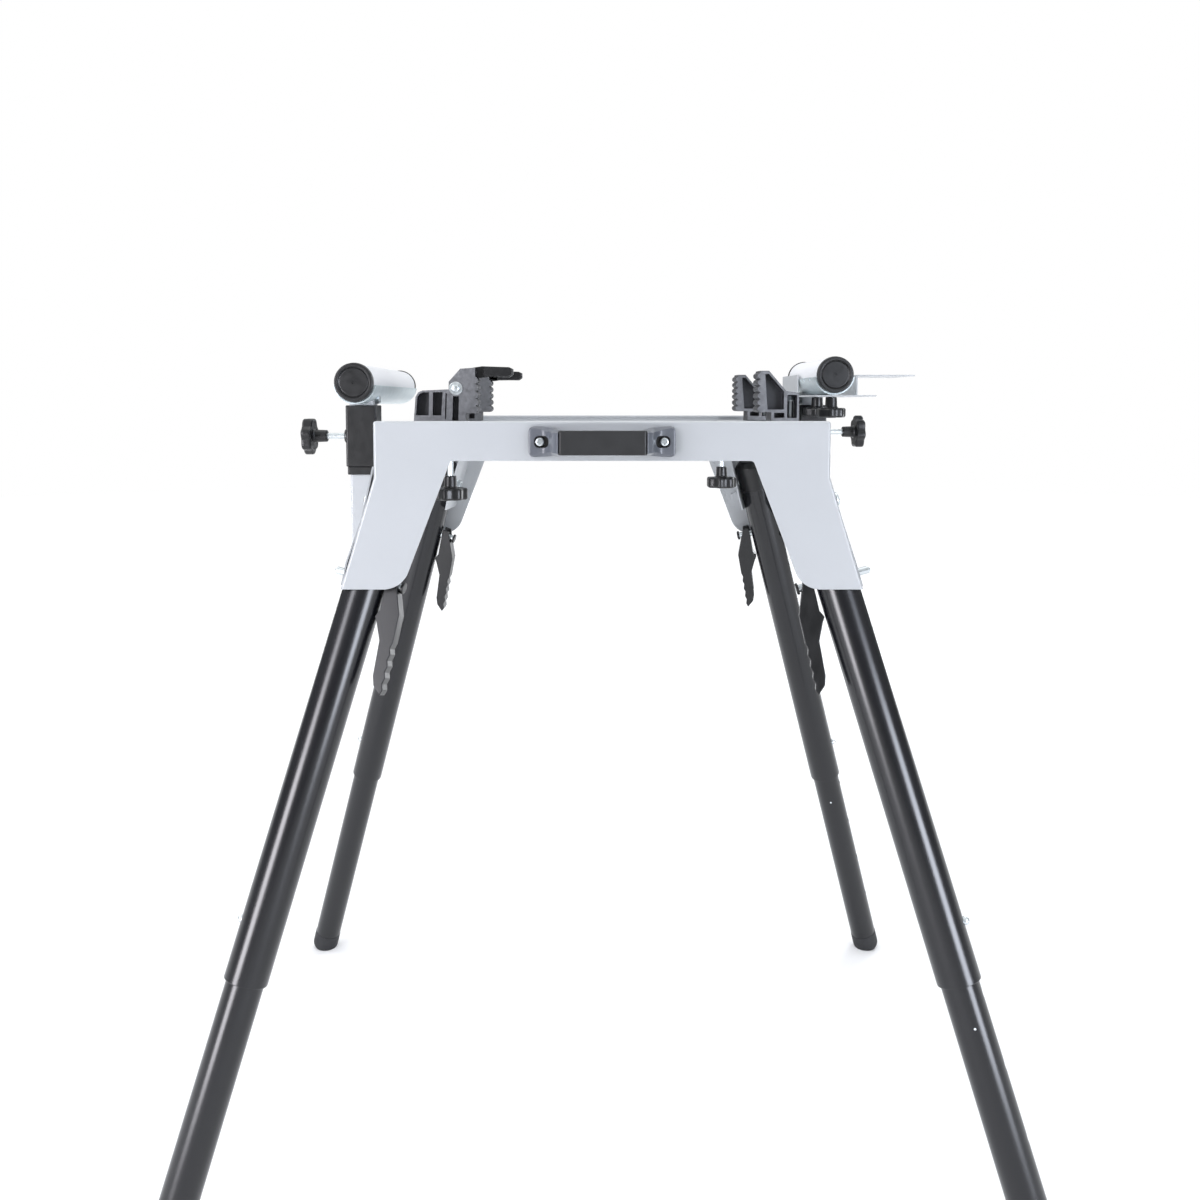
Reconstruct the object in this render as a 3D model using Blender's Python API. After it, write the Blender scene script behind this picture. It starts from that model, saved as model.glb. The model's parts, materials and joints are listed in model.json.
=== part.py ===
"""Folding miter saw stand with telescopic legs, two sliding roller supports and four saw clamps.

Metres, +Z up. The origin is on the floor below the middle of the stand, X runs along the workpiece,
and -Y is the side that carries the handle. A value called "drop" is measured down from the top edge
of the two pressed panels, and one called "high" is measured up from it.
"""
import math

import bmesh
import bpy
from mathutils import Matrix, Vector

MM = 0.001
GAP = 0.3 * MM
SLACK = 0.45 * MM
OVERRUN = 5 * MM
OVERLAP = 1 * MM
MERGE = 0.01 * MM
ROUND = 20
SMALL_ROUND = 12
SHARP_ANGLE = 40

# Rails set the stand's width
RAIL_HALF_LENGTH = 200 * MM
RAIL_Y = 79.5 * MM
RAIL_DROP = 20.9 * MM
RAIL_SIDE = 33 * MM
RAIL_BORE = 28.2 * MM
CROSS_WIDTH = 30 * MM
CROSS_OUT = RAIL_HALF_LENGTH - 18 * MM
CROSS_IN = CROSS_OUT - CROSS_WIDTH
CROSS_WALL = 2.4 * MM
CROSS_INSET = 1 * MM

# Panels
PANEL_FACE = 214 * MM
SHEET = 2 * MM
BEAM_DROP = 35 * MM
BRACKET_DROP = 149.3 * MM
EDGE_START = RAIL_HALF_LENGTH - 14.1 * MM
EDGE_SLOPE = 0.3111
EDGE_KINK_DROP = 49.8 * MM
PANEL_HALF = EDGE_START + EDGE_SLOPE * EDGE_KINK_DROP
INNER_START = EDGE_START - 65.8 * MM
INNER_SLOPE = 0.386
INNER_CORNER = 24 * MM
BEAM_FILLET = 4 * MM
RIM = 6 * MM
FOLD_RADIUS = 2.5 * MM

# Legs: each has its own frame with the origin on its pivot, z up the leg and x outwards along the pivot
LEG_X = EDGE_START - 13.5 * MM
LEG_Y = PANEL_FACE - 54.9 * MM
SIDE_SLOPE = 0.2812
FACE_SLOPE = 0.2213
PIVOT_DROP = 78 * MM
FOLD_SINK = 19
INNER_TOE = 8.75
OUTER_TOE = 13
TUBE_R = 19 * MM
TUBE_WALL = 1.7 * MM
TUBE_LIP = 0.8 * MM
LOWER_R = 16.5 * MM
LOWER_WALL = 1.6 * MM
CAP_R = 19.3 * MM
CAP_TOP = 26 * MM
CAP_SHOULDER = 23.6 * MM
CAP_SIDE = 19 * MM
CAP_CROWN_R = 12 * MM
CAP_SHOULDER_R = 16.8 * MM
CAP_SKIRT = 10 * MM
CAP_PLUG = 14 * MM
UPPER_END = 428.4 * MM
LOWER_INSIDE = 83.4 * MM
LOWER_OUTSIDE = 259.6 * MM
LOWER_START = UPPER_END - LOWER_INSIDE
LOWER_END = UPPER_END + LOWER_OUTSIDE
RETRACT = LOWER_OUTSIDE - 19.6 * MM
HEIGHT_HOLES = 5
HOLE_PITCH = RETRACT / (HEIGHT_HOLES - 1)
PIVOT_R = 4 * MM

FOOT_R = 16.9 * MM
FOOT_LENGTH = 30 * MM
FOOT_CUT = 4.27 * MM
FOOT_PLUG = 24 * MM
FOOT_TOE = 12 * MM
FOOT_ROUND_R = 14.4 * MM
FOOT_ROUND = 5.5 * MM
FOOT_TIP_R = 8 * MM
FOOT_TIP = 1.2 * MM
FOOT_END = LOWER_END + FOOT_LENGTH
TOP = PIVOT_DROP + (FOOT_END - FOOT_CUT) / math.hypot(SIDE_SLOPE, FACE_SLOPE, 1)

BUTTON_AT = UPPER_END - 47 * MM
BUTTON_R = 3.8 * MM
BUTTON_ROOT = 17.5 * MM
BUTTON_TIP = 23.6 * MM
BUTTON_CROWN = 1.4 * MM

PIN_AT = 69 * MM
PIN_R = 3.5 * MM
PIN_TIP = 32 * MM
PIN_CROWN = 1.6 * MM
PIN_HEAD_R = 5.6 * MM
PIN_HEAD_AT = 34.4 * MM
PIN_HEAD = 2.6 * MM
PIN_RISE = 1.6 * MM

BOLT_HEAD_R = 6.4 * MM
BOLT_HEAD = 2.4 * MM
BOLT_CROWN_R = 3.4 * MM
NUT_R = 6.2 * MM
NUT = 6 * MM
NUT_CHAMFER = 1.4 * MM

# Hinge brackets
CHEEK_INSIDE = 19.6 * MM
CHEEK_SHEET = 1.6 * MM
CHEEK_BACK = 22 * MM
CHEEK_CORNER = 8 * MM
BRIDGE_DROP = 42 * MM
BRIDGE_SHEET = 2 * MM
WEB_DROP = 115 * MM
WEB_EDGE = 5 * MM
FLANGE_NUT_R = 5.5 * MM
FLANGE_NUT = 6 * MM
FLANGE_NUT_DROP = 102 * MM
CHEEK_FRONT_EDGE = 7.6 * MM
CHEEK_TOE_EDGE = 6.2 * MM
CHEEK_HEEL_EDGE = 9 * MM
CHEEK_REAR_EDGE = 20 * MM
CHEEK_FRONT_DROP = 90 * MM
CHEEK_HEEL_DROP = 110 * MM
CHEEK_TOE_DROP = 128 * MM
CHEEK_END_DROP = 149 * MM

# Release levers
LEVER_WIDTH = 14 * MM
LEVER_TOP = 60 * MM
LEVER_LENGTH = 105.2 * MM
LEVER_DEPTH = 25.9 * MM
NOSE_IN = 19.8 * MM
NOSE_AT = 99.4 * MM
NOSE_RELIEF = 0.2 * MM
LEVER_WAVES = 4
LEVER_WAVE = 1.6 * MM
LEVER_WALL = 2.4 * MM
FORK_SLACK = 0.5 * MM
FORK_DEEP = 1 * MM
LEVER_BACK_SHARES = ((0.062, 0.0), (0.363, 0.0), (0.432, 0.057), (0.865, 0.31))
LEVER_GRIP_SHARES = (0.551, 0.951)
LEVER_GRIP_DEPTH_SHARES = (0.934, 1.058)
LEVER_TIP_SHARES = ((1.0, 1.0), (0.687, 0.932), (0.571, 0.856), (0.432, 0.561), (0.139, 0.418))
LEVER_NECK_SHARES = ((0.131, 0.314), (0.093, 0.181))
LEVER_CHANNEL_SHARES = ((0.0, 0.494), (0.757, 0.494), (0.834, 0.817), (0.0, 0.817))

# Arms and supports
ARM_SIDE = 27 * MM
ARM_WALL = 1.8 * MM
ARM_LENGTH = 400 * MM
LEFT_BLOCK_X = -RAIL_HALF_LENGTH - 36 * MM
RIGHT_BLOCK_X = RAIL_HALF_LENGTH + 43 * MM
BLOCK_SIDE = 30.4 * MM
BLOCK_HIGH = 13.6 * MM
BLOCK_DROP = 47 * MM
BLOCK_EDGE = 1.2 * MM
SKIRT_DROP = 55 * MM
SKIRT_SIDE = 28.2 * MM
BOSS_R = 7 * MM
BOSS = 3.4 * MM
POST_SIDE = 24 * MM
POST_WALL = 1.8 * MM
POST_BORE = 24.8 * MM
POST_DROP = 132 * MM
SCREW_R = 3 * MM
POST_SCREW_DROP = 17 * MM
POST_KNOB_OUT = 59.4 * MM
POST_KNOB_R = 18.6 * MM
POST_KNOB_DISC = 10 * MM
POST_KNOB_HUB = 13 * MM
ARM_KNOB_LEFT_X = 50 * MM - RAIL_HALF_LENGTH
ARM_KNOB_RIGHT_X = RAIL_HALF_LENGTH - 58.3 * MM
ARM_KNOB_DROP = 81 * MM
ARM_KNOB_R = 17.3 * MM
ARM_KNOB_DISC = 12 * MM
ARM_KNOB_HUB = 12 * MM
KNOB_HUB_R = 6.2 * MM
KNOB_LOBES = 7
KNOB_DIP_SHARE = 0.13
KNOB_FACE_SHARE = 0.93
KNOB_EDGE_SHARE = 0.16

# Rollers
ROLLER_R = 18.3 * MM
ROLLER_CAP_R = 18.6 * MM
ROLLER_CAP = 5 * MM
ROLLER_STEP = 0.3 * MM
ROLLER_DISH_R = 15.4 * MM
ROLLER_DISH = 0.7 * MM
ROLLER_ROUND = 0.8 * MM
TROUGH_R = 19.2 * MM
TROUGH_WALL = 1.5 * MM
STRAIGHT_DOWN = -90
TROUGH_SPAN = 166
TROUGH_END = 6 * MM
LEFT_ROLLER_HIGH = 35.5 * MM
RIGHT_ROLLER_HIGH = 45 * MM
LEFT_ROLLER_Y = (-128 * MM, 142 * MM)
RIGHT_ROLLER_Y = (-45 * MM, 125 * MM)

# Workpiece stop below the right roller
STOP_SHEET = 1.6 * MM
STOP_RISER_OUT = 43 * MM
STOP_TONGUE_OUT = 108 * MM
STOP_FACE_DROP = 6 * MM
STOP_TONGUE_HIGH = 47 * MM
STOP_BASE_Y = (-42 * MM, 61 * MM)
STOP_FACE_Y = (44 * MM, 135 * MM)
STOP_KNOB_Y = (-25 * MM, 45.5 * MM)
STOP_KNOB_R = 15.3 * MM
STOP_KNOB_DISC = 10 * MM
STOP_KNOB_HUB = 11.4 * MM
STOP_TRAVEL = 18 * MM

# Saw clamps: x outwards from the toothed face, z up from the rail
RIGHT_FACE_X = RAIL_HALF_LENGTH - 45.5 * MM
LEFT_FACE_X = 79.5 * MM - RAIL_HALF_LENGTH
CLAMP_WIDTH = 29 * MM
CLAMP_HEIGHT = 52 * MM
CLAMP_WEB = 8 * MM
TOOTH_DEPTH = 2.6 * MM
TEETH = 6
TOOTH_RISE_SHARE = 0.35
TOOTH_FALL_SHARE = 0.65
TOOTH_BAND_SHARES = (0.1, 0.96)
LEFT_TOOTH_BAND_SHARES = (0.1, 0.83)
RIGHT_CLAMP_LENGTH = 43 * MM
RIGHT_OUTLINE_SHARES = ((1.0, 0.0), (1.0, 0.5), (0.63, 0.5), (0.37, 1.0), (0.023, 1.0))
RIGHT_POCKET_SHARES = ((0.16, 0.18), (0.54, 0.18), (0.54, 0.52), (0.31, 0.88), (0.16, 0.88))
RIGHT_SLOT_SHARES = ((0.26, 0.05), (0.56, 0.05), (0.56, 0.12), (0.26, 0.12))
CLAMP_HEEL_SHARE = 0.1
CLAMP_BOLT_AT = 35.5 * MM
CLAMP_BOLT_R = 5.6 * MM
CLAMP_BOLT_HIGH = 34 * MM
LEFT_CLAMP_LENGTH = 66 * MM
LEFT_OUTLINE_SHARES = (
    (1.0, 0.0), (1.0, 0.5), (0.9, 0.62), (0.46, 0.62), (0.36, 0.77), (0.2, 1.06), (0.0, 1.06),
)
LEFT_POCKET_SHARES = (
    ((0.53, 0.1), (0.7, 0.1), (0.7, 0.52), (0.53, 0.52)),
    ((0.76, 0.1), (0.94, 0.1), (0.94, 0.52), (0.76, 0.52)),
    ((0.29, 0.05), (0.4, 0.05), (0.4, 0.44), (0.29, 0.44)),
    ((0.08, 0.1), (0.22, 0.1), (0.22, 0.7), (0.08, 0.7)),
)
CROSS_BOLT_AT = 22.5 * MM
CROSS_BOLT_HIGH = 29 * MM
CROSS_BOLT_R = 4.6 * MM
CROSS_BOLT_HEAD = 2.6 * MM

# Hold-down fingers
FINGER_PIN_AT = 4 * MM
FINGER_PIN_HIGH = 50 * MM
FINGER_PIN_R = 2 * MM
FINGER_KNUCKLE_R = 5.2 * MM
FINGER_KNUCKLE_TURN = 70
FINGER_LENGTH = 38 * MM
FINGER_HEIGHT = 11 * MM
FINGER_KNUCKLE_WIDTH = 11 * MM
FINGER_WING_WIDTH = 22 * MM
FINGER_SLOT_WIDTH = 12.4 * MM
FINGER_SLOT_DROP = 8 * MM
FINGER_SLOT_BACK = 8 * MM
FINGER_BAR_SHARES = (
    (-0.2, 0.57), (-0.9, 0.49), (-1.0, 0.33), (-1.0, -0.18), (-0.9, -0.4), (-0.37, -0.36), (-0.16, -0.48),
)
FINGER_WING_SHARES = (
    (-0.26, 0.52), (-0.88, 0.45), (-0.98, 0.3), (-0.98, -0.15), (-0.88, -0.36), (-0.4, -0.32), (-0.26, -0.36),
)

# Carry handle
HANDLE_HALF = 64.2 * MM
HANDLE_DROP = 18 * MM
HANDLE_END_HEIGHT = 26.8 * MM
HANDLE_GRIP_HEIGHT = 22 * MM
HANDLE_GRIP_HALF = HANDLE_HALF - 25.2 * MM
HANDLE_STAND = 38 * MM
HANDLE_PLATE = 6 * MM
HANDLE_GRIP_THICK = 12 * MM
HANDLE_EDGE = 1.2 * MM
HANDLE_FLARE = 7 * MM
HANDLE_CORNER = 4 * MM
HANDLE_SCREW_X = HANDLE_HALF - 9.7 * MM
HANDLE_RECESS = 2.6 * MM
HANDLE_RECESS_R = 6.2 * MM
HANDLE_SCREW_R = 2.5 * MM
HANDLE_SCREW_HEAD_R = 4.4 * MM
HANDLE_SCREW_HEAD = 2.4 * MM
HANDLE_SCREW_CROWN_R = 2.6 * MM
HANDLE_SCREW_LENGTH = 8 * MM


def linear(channel):
    if channel <= 0.04045:
        return channel / 12.92
    return ((channel + 0.055) / 1.055) ** 2.4


def material(name, colour, roughness, metallic):
    """A plain finish from an sRGB hex colour."""
    made = bpy.data.materials.new(name)
    made.use_nodes = True
    shader = made.node_tree.nodes["Principled BSDF"]
    parts = [linear(int(colour[i:i + 2], 16) / 255) for i in (0, 2, 4)]
    shader.inputs["Base Color"].default_value = (*parts, 1)
    shader.inputs["Roughness"].default_value = roughness
    shader.inputs["Metallic"].default_value = metallic
    made.diffuse_color = (*parts, 1)
    return made


def finishes():
    return {
        "panel": material("Light grey panel paint", "D3D8E1", 0.38, 0.0),
        "zinc": material("Bright zinc", "C9CCD0", 0.28, 0.9),
        "leg": material("Gloss black leg paint", "2C2D2F", 0.24, 0.0),
        "plastic": material("Black moulded plastic", "2A2A2C", 0.45, 0.0),
        "cast": material("Grey die-cast metal", "7B7D82", 0.42, 0.6),
        "lever": material("Dark grey lever nylon", "3C3D40", 0.5, 0.0),
        "rubber": material("Black foot rubber", "222325", 0.7, 0.0),
        "tube": material("Pale grey tube paint", "DCDFE3", 0.32, 0.0),
        "roller": material("Bright roller sleeve", "E9EAEC", 0.3, 0.2),
    }


# Modelling helpers

def new_object(name, shape, finish, place=None):
    """Turn a bmesh into a named object; the bmesh is freed."""
    bmesh.ops.recalc_face_normals(shape, faces=shape.faces)
    mesh = bpy.data.meshes.new(name)
    shape.to_mesh(mesh)
    shape.free()
    mesh.shade_smooth()
    mesh.set_sharp_from_angle(angle=math.radians(SHARP_ANGLE))
    if finish:
        mesh.materials.append(finish)
    made = bpy.data.objects.new(name, mesh)
    bpy.context.scene.collection.objects.link(made)
    if place is not None:
        made.matrix_world = place
    return made


def tool(name, shape, place=None):
    """A helper object for Boolean modifiers; it is never part of the stand."""
    made = new_object(name, shape, None, place)
    made.hide_render = True
    made.display_type = "WIRE"
    return made


def combine(target, helper, operation):
    modifier = target.modifiers.new(operation.title(), "BOOLEAN")
    modifier.operation = operation
    modifier.solver = "EXACT"
    modifier.object = helper
    return target


def cut(target, helper):
    return combine(target, helper, "DIFFERENCE")


def weld(target, helper):
    return combine(target, helper, "UNION")


def spread(axis, first, second, along):
    if axis == "X":
        return Vector((along, first, second))
    if axis == "Y":
        return Vector((first, along, second))
    return Vector((first, second, along))


def extrude(shape, faces, travel):
    raised = bmesh.ops.extrude_face_region(shape, geom=faces)["geom"]
    moved = [v for v in raised if isinstance(v, bmesh.types.BMVert)]
    bmesh.ops.translate(shape, verts=moved, vec=travel)
    return shape


def prism(points, axis, low, high):
    """Extrude a flat outline along an axis. X takes (y, z), Y takes (x, z), Z takes (x, y)."""
    shape = bmesh.new()
    corners = [shape.verts.new(spread(axis, a, b, low)) for a, b in points]
    return extrude(shape, [shape.faces.new(corners)], spread(axis, 0, 0, high - low))


def box(x, y, z):
    outline = [(x[0], y[0]), (x[1], y[0]), (x[1], y[1]), (x[0], y[1])]
    return prism(outline, "Z", *z)


def circle(radius, count, centre=(0, 0)):
    turn = math.tau / count
    return [
        (centre[0] + radius * math.cos((i + 0.5) * turn), centre[1] + radius * math.sin((i + 0.5) * turn))
        for i in range(count)
    ]


def rod(axis, centre, radius, low, high, count=SMALL_ROUND):
    return prism(circle(radius, count, centre), axis, low, high)


def ring(outer, inner, axis, low, high):
    """A tube between two outlines with the same number of points."""
    shape = bmesh.new()
    count = len(outer)
    outside, inside = [[shape.verts.new(spread(axis, a, b, low)) for a, b in points] for points in (outer, inner)]
    faces = []
    for i in range(count):
        j = (i + 1) % count
        faces.append(shape.faces.new((outside[i], outside[j], inside[j], inside[i])))
    return extrude(shape, faces, spread(axis, 0, 0, high - low))


def square(side, centre=(0, 0)):
    x, y = centre
    half = side / 2
    return [(x - half, y - half), (x + half, y - half), (x + half, y + half), (x - half, y + half)]


def turned(profile, count=ROUND):
    """Spin a profile of (radius, height) points about Z; one that starts off the axis is closed first."""
    shape = bmesh.new()
    points = [shape.verts.new((r, 0, z)) for r, z in profile]
    edges = [shape.edges.new(pair) for pair in zip(points, points[1:])]
    if profile[0][0] > 0:
        edges.append(shape.edges.new((points[-1], points[0])))
    bmesh.ops.spin(
        shape, geom=points + edges, cent=(0, 0, 0), axis=(0, 0, 1), angle=math.tau, steps=count, use_merge=True
    )
    bmesh.ops.remove_doubles(shape, verts=shape.verts, dist=MERGE)
    return shape


def scaled(shares, length, height):
    return [(a * length, b * height) for a, b in shares]


def side_pair():
    return (("left", -1), ("right", 1))


def rounded(corner, before, after, radius, steps):
    """Points that replace one corner of an outline with an arc."""
    corner, before, after = Vector(corner), Vector(before), Vector(after)
    one = (before - corner).normalized()
    two = (after - corner).normalized()
    half = one.angle(two) / 2
    reach = radius / math.tan(half)
    centre = corner + (one + two).normalized() * radius / math.sin(half)
    first = corner + one * reach - centre
    last = corner + two * reach - centre
    turn = first.angle_signed(last)
    return [tuple(centre + Matrix.Rotation(-turn * i / steps, 2) @ first) for i in range(steps + 1)]


def turn_to(axis, sign=1):
    """A rotation that lays local z along an axis."""
    if axis == "X":
        return Matrix.Rotation(math.radians(90 * sign), 4, "Y")
    return Matrix.Rotation(math.radians(-90 * sign), 4, "X")


# Frames

def panel_x(drop):
    """Half width of a panel at its outer edge."""
    return max(PANEL_HALF, EDGE_START + EDGE_SLOPE * drop)


def inner_x(drop):
    return INNER_START + INNER_SLOPE * drop


def leg_down(side, face):
    return Vector((side * SIDE_SLOPE, face * FACE_SLOPE, -1)).normalized()


def folded_way(side, face):
    """Direction of a folded leg: two legs toe in and the other two toe out, so that they lie side by side."""
    inwards = side * face > 0
    toe = math.radians(INNER_TOE if inwards else -OUTER_TOE)
    sink = math.radians(FOLD_SINK)
    flat = math.cos(sink)
    return Vector((-side * math.sin(toe) * flat, -face * math.cos(toe) * flat, -math.sin(sink)))


def leg_frame(side, face):
    down = leg_down(side, face)
    pivot = Vector((
        side * (LEG_X + SIDE_SLOPE * PIVOT_DROP),
        face * (LEG_Y + FACE_SLOPE * PIVOT_DROP),
        TOP - PIVOT_DROP,
    ))
    axis = down.cross(folded_way(side, face)).normalized()
    out = axis * math.copysign(1, axis.x * side)
    up = -down
    across = up.cross(out)
    return Matrix.Translation(pivot) @ Matrix((out, across, up)).transposed().to_4x4()


def along_leg(frame, drop):
    return frame @ Matrix.Translation((0, 0, -drop))


# Panels

def panel_outline():
    """The right half below the beam, from the foot of the outer edge round to the beam."""
    bottom_out = (panel_x(BRACKET_DROP), -BRACKET_DROP)
    bottom_in = (inner_x(BRACKET_DROP), -BRACKET_DROP)
    beam_in = (inner_x(BEAM_DROP), -BEAM_DROP)
    corner = rounded(bottom_in, bottom_out, beam_in, INNER_CORNER, 4)
    return corner + rounded(beam_in, bottom_in, (0, -BEAM_DROP), BEAM_FILLET, 2)


def make_panel(name, face, finish):
    """A face with a rim folded back along its top and its two outer edges, thickened inwards."""
    shape = bmesh.new()
    drops = (0, EDGE_KINK_DROP, BRACKET_DROP)
    rim = {side: [shape.verts.new((side * panel_x(d), 0, -d)) for d in drops] for side in (1, -1)}
    back = {side: [shape.verts.new((side * panel_x(d), -face * RIM, -d)) for d in drops] for side in (1, -1)}
    lower = panel_outline()
    right = [shape.verts.new((x, 0, z)) for x, z in lower]
    left = [shape.verts.new((-x, 0, z)) for x, z in reversed(lower)]
    plate = shape.faces.new(rim[1] + right + left + list(reversed(rim[-1])))
    folds = [(rim[1][0], rim[-1][0])] + [(rim[side][0], back[side][0]) for side in (1, -1)]
    shape.faces.new((rim[1][0], rim[-1][0], back[-1][0], back[1][0]))
    for side in (1, -1):
        for i in range(len(drops) - 1):
            a, b = rim[side][i], rim[side][i + 1]
            shape.faces.new((a, b, back[side][i + 1], back[side][i]))
            folds.append((a, b))
    edges = [shape.edges.get(pair) for pair in folds]
    bmesh.ops.recalc_face_normals(shape, faces=shape.faces)
    shape.normal_update()
    if plate.normal.y * face < 0:
        bmesh.ops.reverse_faces(shape, faces=shape.faces)
    bmesh.ops.bevel(
        shape, geom=edges, offset=FOLD_RADIUS, segments=2, profile=0.5, affect="EDGES", clamp_overlap=True
    )
    mesh = bpy.data.meshes.new(name)
    shape.to_mesh(mesh)
    shape.free()
    mesh.shade_smooth()
    mesh.set_sharp_from_angle(angle=math.radians(SHARP_ANGLE))
    mesh.materials.append(finish)
    panel = bpy.data.objects.new(name, mesh)
    bpy.context.scene.collection.objects.link(panel)
    panel.location = (0, face * PANEL_FACE, TOP)
    solid = panel.modifiers.new("Sheet", "SOLIDIFY")
    solid.thickness = SHEET
    solid.offset = -1
    solid.use_even_offset = True
    return panel


# Rail frame

def make_rail_frame(finish):
    """Two square rails welded through two channel cross members that reach both panels."""
    half = RAIL_SIDE / 2
    low, high = -RAIL_DROP - half, -RAIL_DROP + half
    cross_low, cross_high = low + CROSS_INSET, high - CROSS_INSET
    length = (-RAIL_HALF_LENGTH, RAIL_HALF_LENGTH)
    end = PANEL_FACE - SHEET - GAP
    place = Matrix.Translation((0, 0, TOP))
    frame = new_object("rail_frame", box(length, (-RAIL_Y - half, -RAIL_Y + half), (low, high)), finish, place)
    weld(frame, tool("Back rail", box(length, (RAIL_Y - half, RAIL_Y + half), (low, high)), place))
    for label, side in side_pair():
        x = sorted((side * CROSS_IN, side * CROSS_OUT))
        weld(frame, tool(f"{label} cross member", box(x, (-end, end), (cross_low, cross_high)), place))
    bore = RAIL_BORE / 2
    reach = RAIL_HALF_LENGTH + OVERRUN
    for label, y in (("front", -RAIL_Y), ("back", RAIL_Y)):
        hole = box((-reach, reach), (y - bore, y + bore), (-RAIL_DROP - bore, -RAIL_DROP + bore))
        cut(frame, tool(f"{label} rail bore", hole, place))
    bays = [(-end, -RAIL_Y - half), (-RAIL_Y + half, RAIL_Y - half), (RAIL_Y + half, end)]
    for label, side in side_pair():
        x = sorted((side * (CROSS_IN + CROSS_WALL), side * (CROSS_OUT - CROSS_WALL)))
        for number, bay in enumerate(bays):
            y = (bay[0] + CROSS_WALL, bay[1] - CROSS_WALL)
            hollow = box(x, y, (cross_low - OVERRUN, cross_high - CROSS_WALL))
            cut(frame, tool(f"{label} cross member hollow {number + 1}", hollow, place))
    for label, x, y in (("left", ARM_KNOB_LEFT_X, -RAIL_Y), ("right", ARM_KNOB_RIGHT_X, RAIL_Y)):
        hole = rod("Z", (x, y), SCREW_R + SLACK, low - OVERRUN, -RAIL_DROP)
        cut(frame, tool(f"{label} lock screw hole", hole, place))
    return frame


# Legs

def make_upper_leg(prefix, frame, finish):
    bore = TUBE_R - TUBE_WALL
    profile = [
        (0, CAP_TOP), (CAP_CROWN_R, CAP_TOP), (CAP_SHOULDER_R, CAP_SHOULDER), (CAP_R, CAP_SIDE),
        (CAP_R, -CAP_SKIRT), (TUBE_R, -CAP_SKIRT), (TUBE_R, -UPPER_END + TUBE_LIP),
        (TUBE_R - TUBE_LIP, -UPPER_END), (bore, -UPPER_END), (bore, -CAP_PLUG), (0, -CAP_PLUG),
    ]
    upper = new_object(f"{prefix}_leg_upper", turned(profile), finish, frame)
    reach = CAP_R + OVERRUN
    cut(upper, tool(f"{prefix} pivot bore", rod("X", (0, 0), PIVOT_R + SLACK, -reach, reach), frame))
    cut(upper, tool(f"{prefix} pin bore", rod("X", (0, -PIN_AT), PIN_R + SLACK, -reach, reach), frame))
    hole = rod("X", (0, -BUTTON_AT), BUTTON_R + SLACK, bore / 2, reach)
    cut(upper, tool(f"{prefix} button hole", hole, frame))


def make_lower_leg(prefix, frame, finish):
    inner = LOWER_R - LOWER_WALL
    tube = ring(circle(LOWER_R, ROUND), circle(inner, ROUND), "Z", -LOWER_END, -LOWER_START)
    lower = new_object(f"{prefix}_leg_lower", tube, finish, frame)
    for number in range(HEIGHT_HOLES):
        drop = BUTTON_AT + number * HOLE_PITCH
        hole = rod("X", (0, -drop), BUTTON_R + SLACK, inner / 2, LOWER_R + OVERRUN)
        cut(lower, tool(f"{prefix} height hole {number + 1}", hole, frame))


def make_foot(prefix, frame, finish):
    plug = LOWER_R - LOWER_WALL - GAP
    profile = [
        (0, -LOWER_END + FOOT_PLUG), (plug, -LOWER_END + FOOT_PLUG), (plug, -LOWER_END - GAP),
        (FOOT_R, -LOWER_END - GAP), (FOOT_R, -FOOT_END + FOOT_TOE), (FOOT_ROUND_R, -FOOT_END + FOOT_ROUND),
        (FOOT_TIP_R, -FOOT_END + FOOT_TIP), (0, -FOOT_END),
    ]
    foot = new_object(f"{prefix}_foot", turned(profile), finish, frame)
    wide = (-2 * PANEL_FACE, 2 * PANEL_FACE)
    cut(foot, tool(f"{prefix} floor", box(wide, wide, (-TOP, 0))))


def make_button(prefix, frame, finish):
    shape = rod("X", (0, 0), BUTTON_R, BUTTON_ROOT, BUTTON_TIP - BUTTON_CROWN)
    crown = max(shape.faces, key=lambda f: f.calc_center_median().x)
    bmesh.ops.inset_region(shape, faces=[crown], thickness=BUTTON_CROWN, use_even_offset=True)
    bmesh.ops.translate(shape, verts=crown.verts, vec=(BUTTON_CROWN, 0, 0))
    new_object(f"{prefix}_spring_button", shape, finish, along_leg(frame, BUTTON_AT))


def make_pivot_bolt(prefix, frame, finish):
    seat = CHEEK_INSIDE + CHEEK_SHEET + GAP
    profile = [
        (0, -seat - NUT), (NUT_R - NUT_CHAMFER, -seat - NUT), (NUT_R, -seat - NUT + NUT_CHAMFER), (NUT_R, -seat),
        (PIVOT_R, -seat), (PIVOT_R, seat), (BOLT_HEAD_R, seat), (BOLT_CROWN_R, seat + BOLT_HEAD),
        (0, seat + BOLT_HEAD),
    ]
    new_object(f"{prefix}_pivot_bolt", turned(profile, SMALL_ROUND), finish, frame @ turn_to("X"))


def make_lock_pin(prefix, frame, finish):
    head_top = -PIN_HEAD_AT - PIN_HEAD
    profile = [
        (0, head_top), (PIN_HEAD_R, head_top), (PIN_HEAD_R, -PIN_HEAD_AT), (PIN_R, -PIN_HEAD_AT),
        (PIN_R, PIN_TIP - PIN_CROWN), (PIN_R - PIN_CROWN, PIN_TIP), (0, PIN_TIP),
    ]
    place = along_leg(frame, PIN_AT) @ turn_to("X")
    new_object(f"{prefix}_lock_pin", turned(profile, SMALL_ROUND), finish, place)


def lever_point(inward_share, down_share):
    """A place on the lever in its own frame: the origin is the nose that bears on the tube."""
    inward = TUBE_R + inward_share * LEVER_DEPTH
    drop = LEVER_TOP + down_share * LEVER_LENGTH
    return (NOSE_IN - inward, NOSE_AT - drop)


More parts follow.
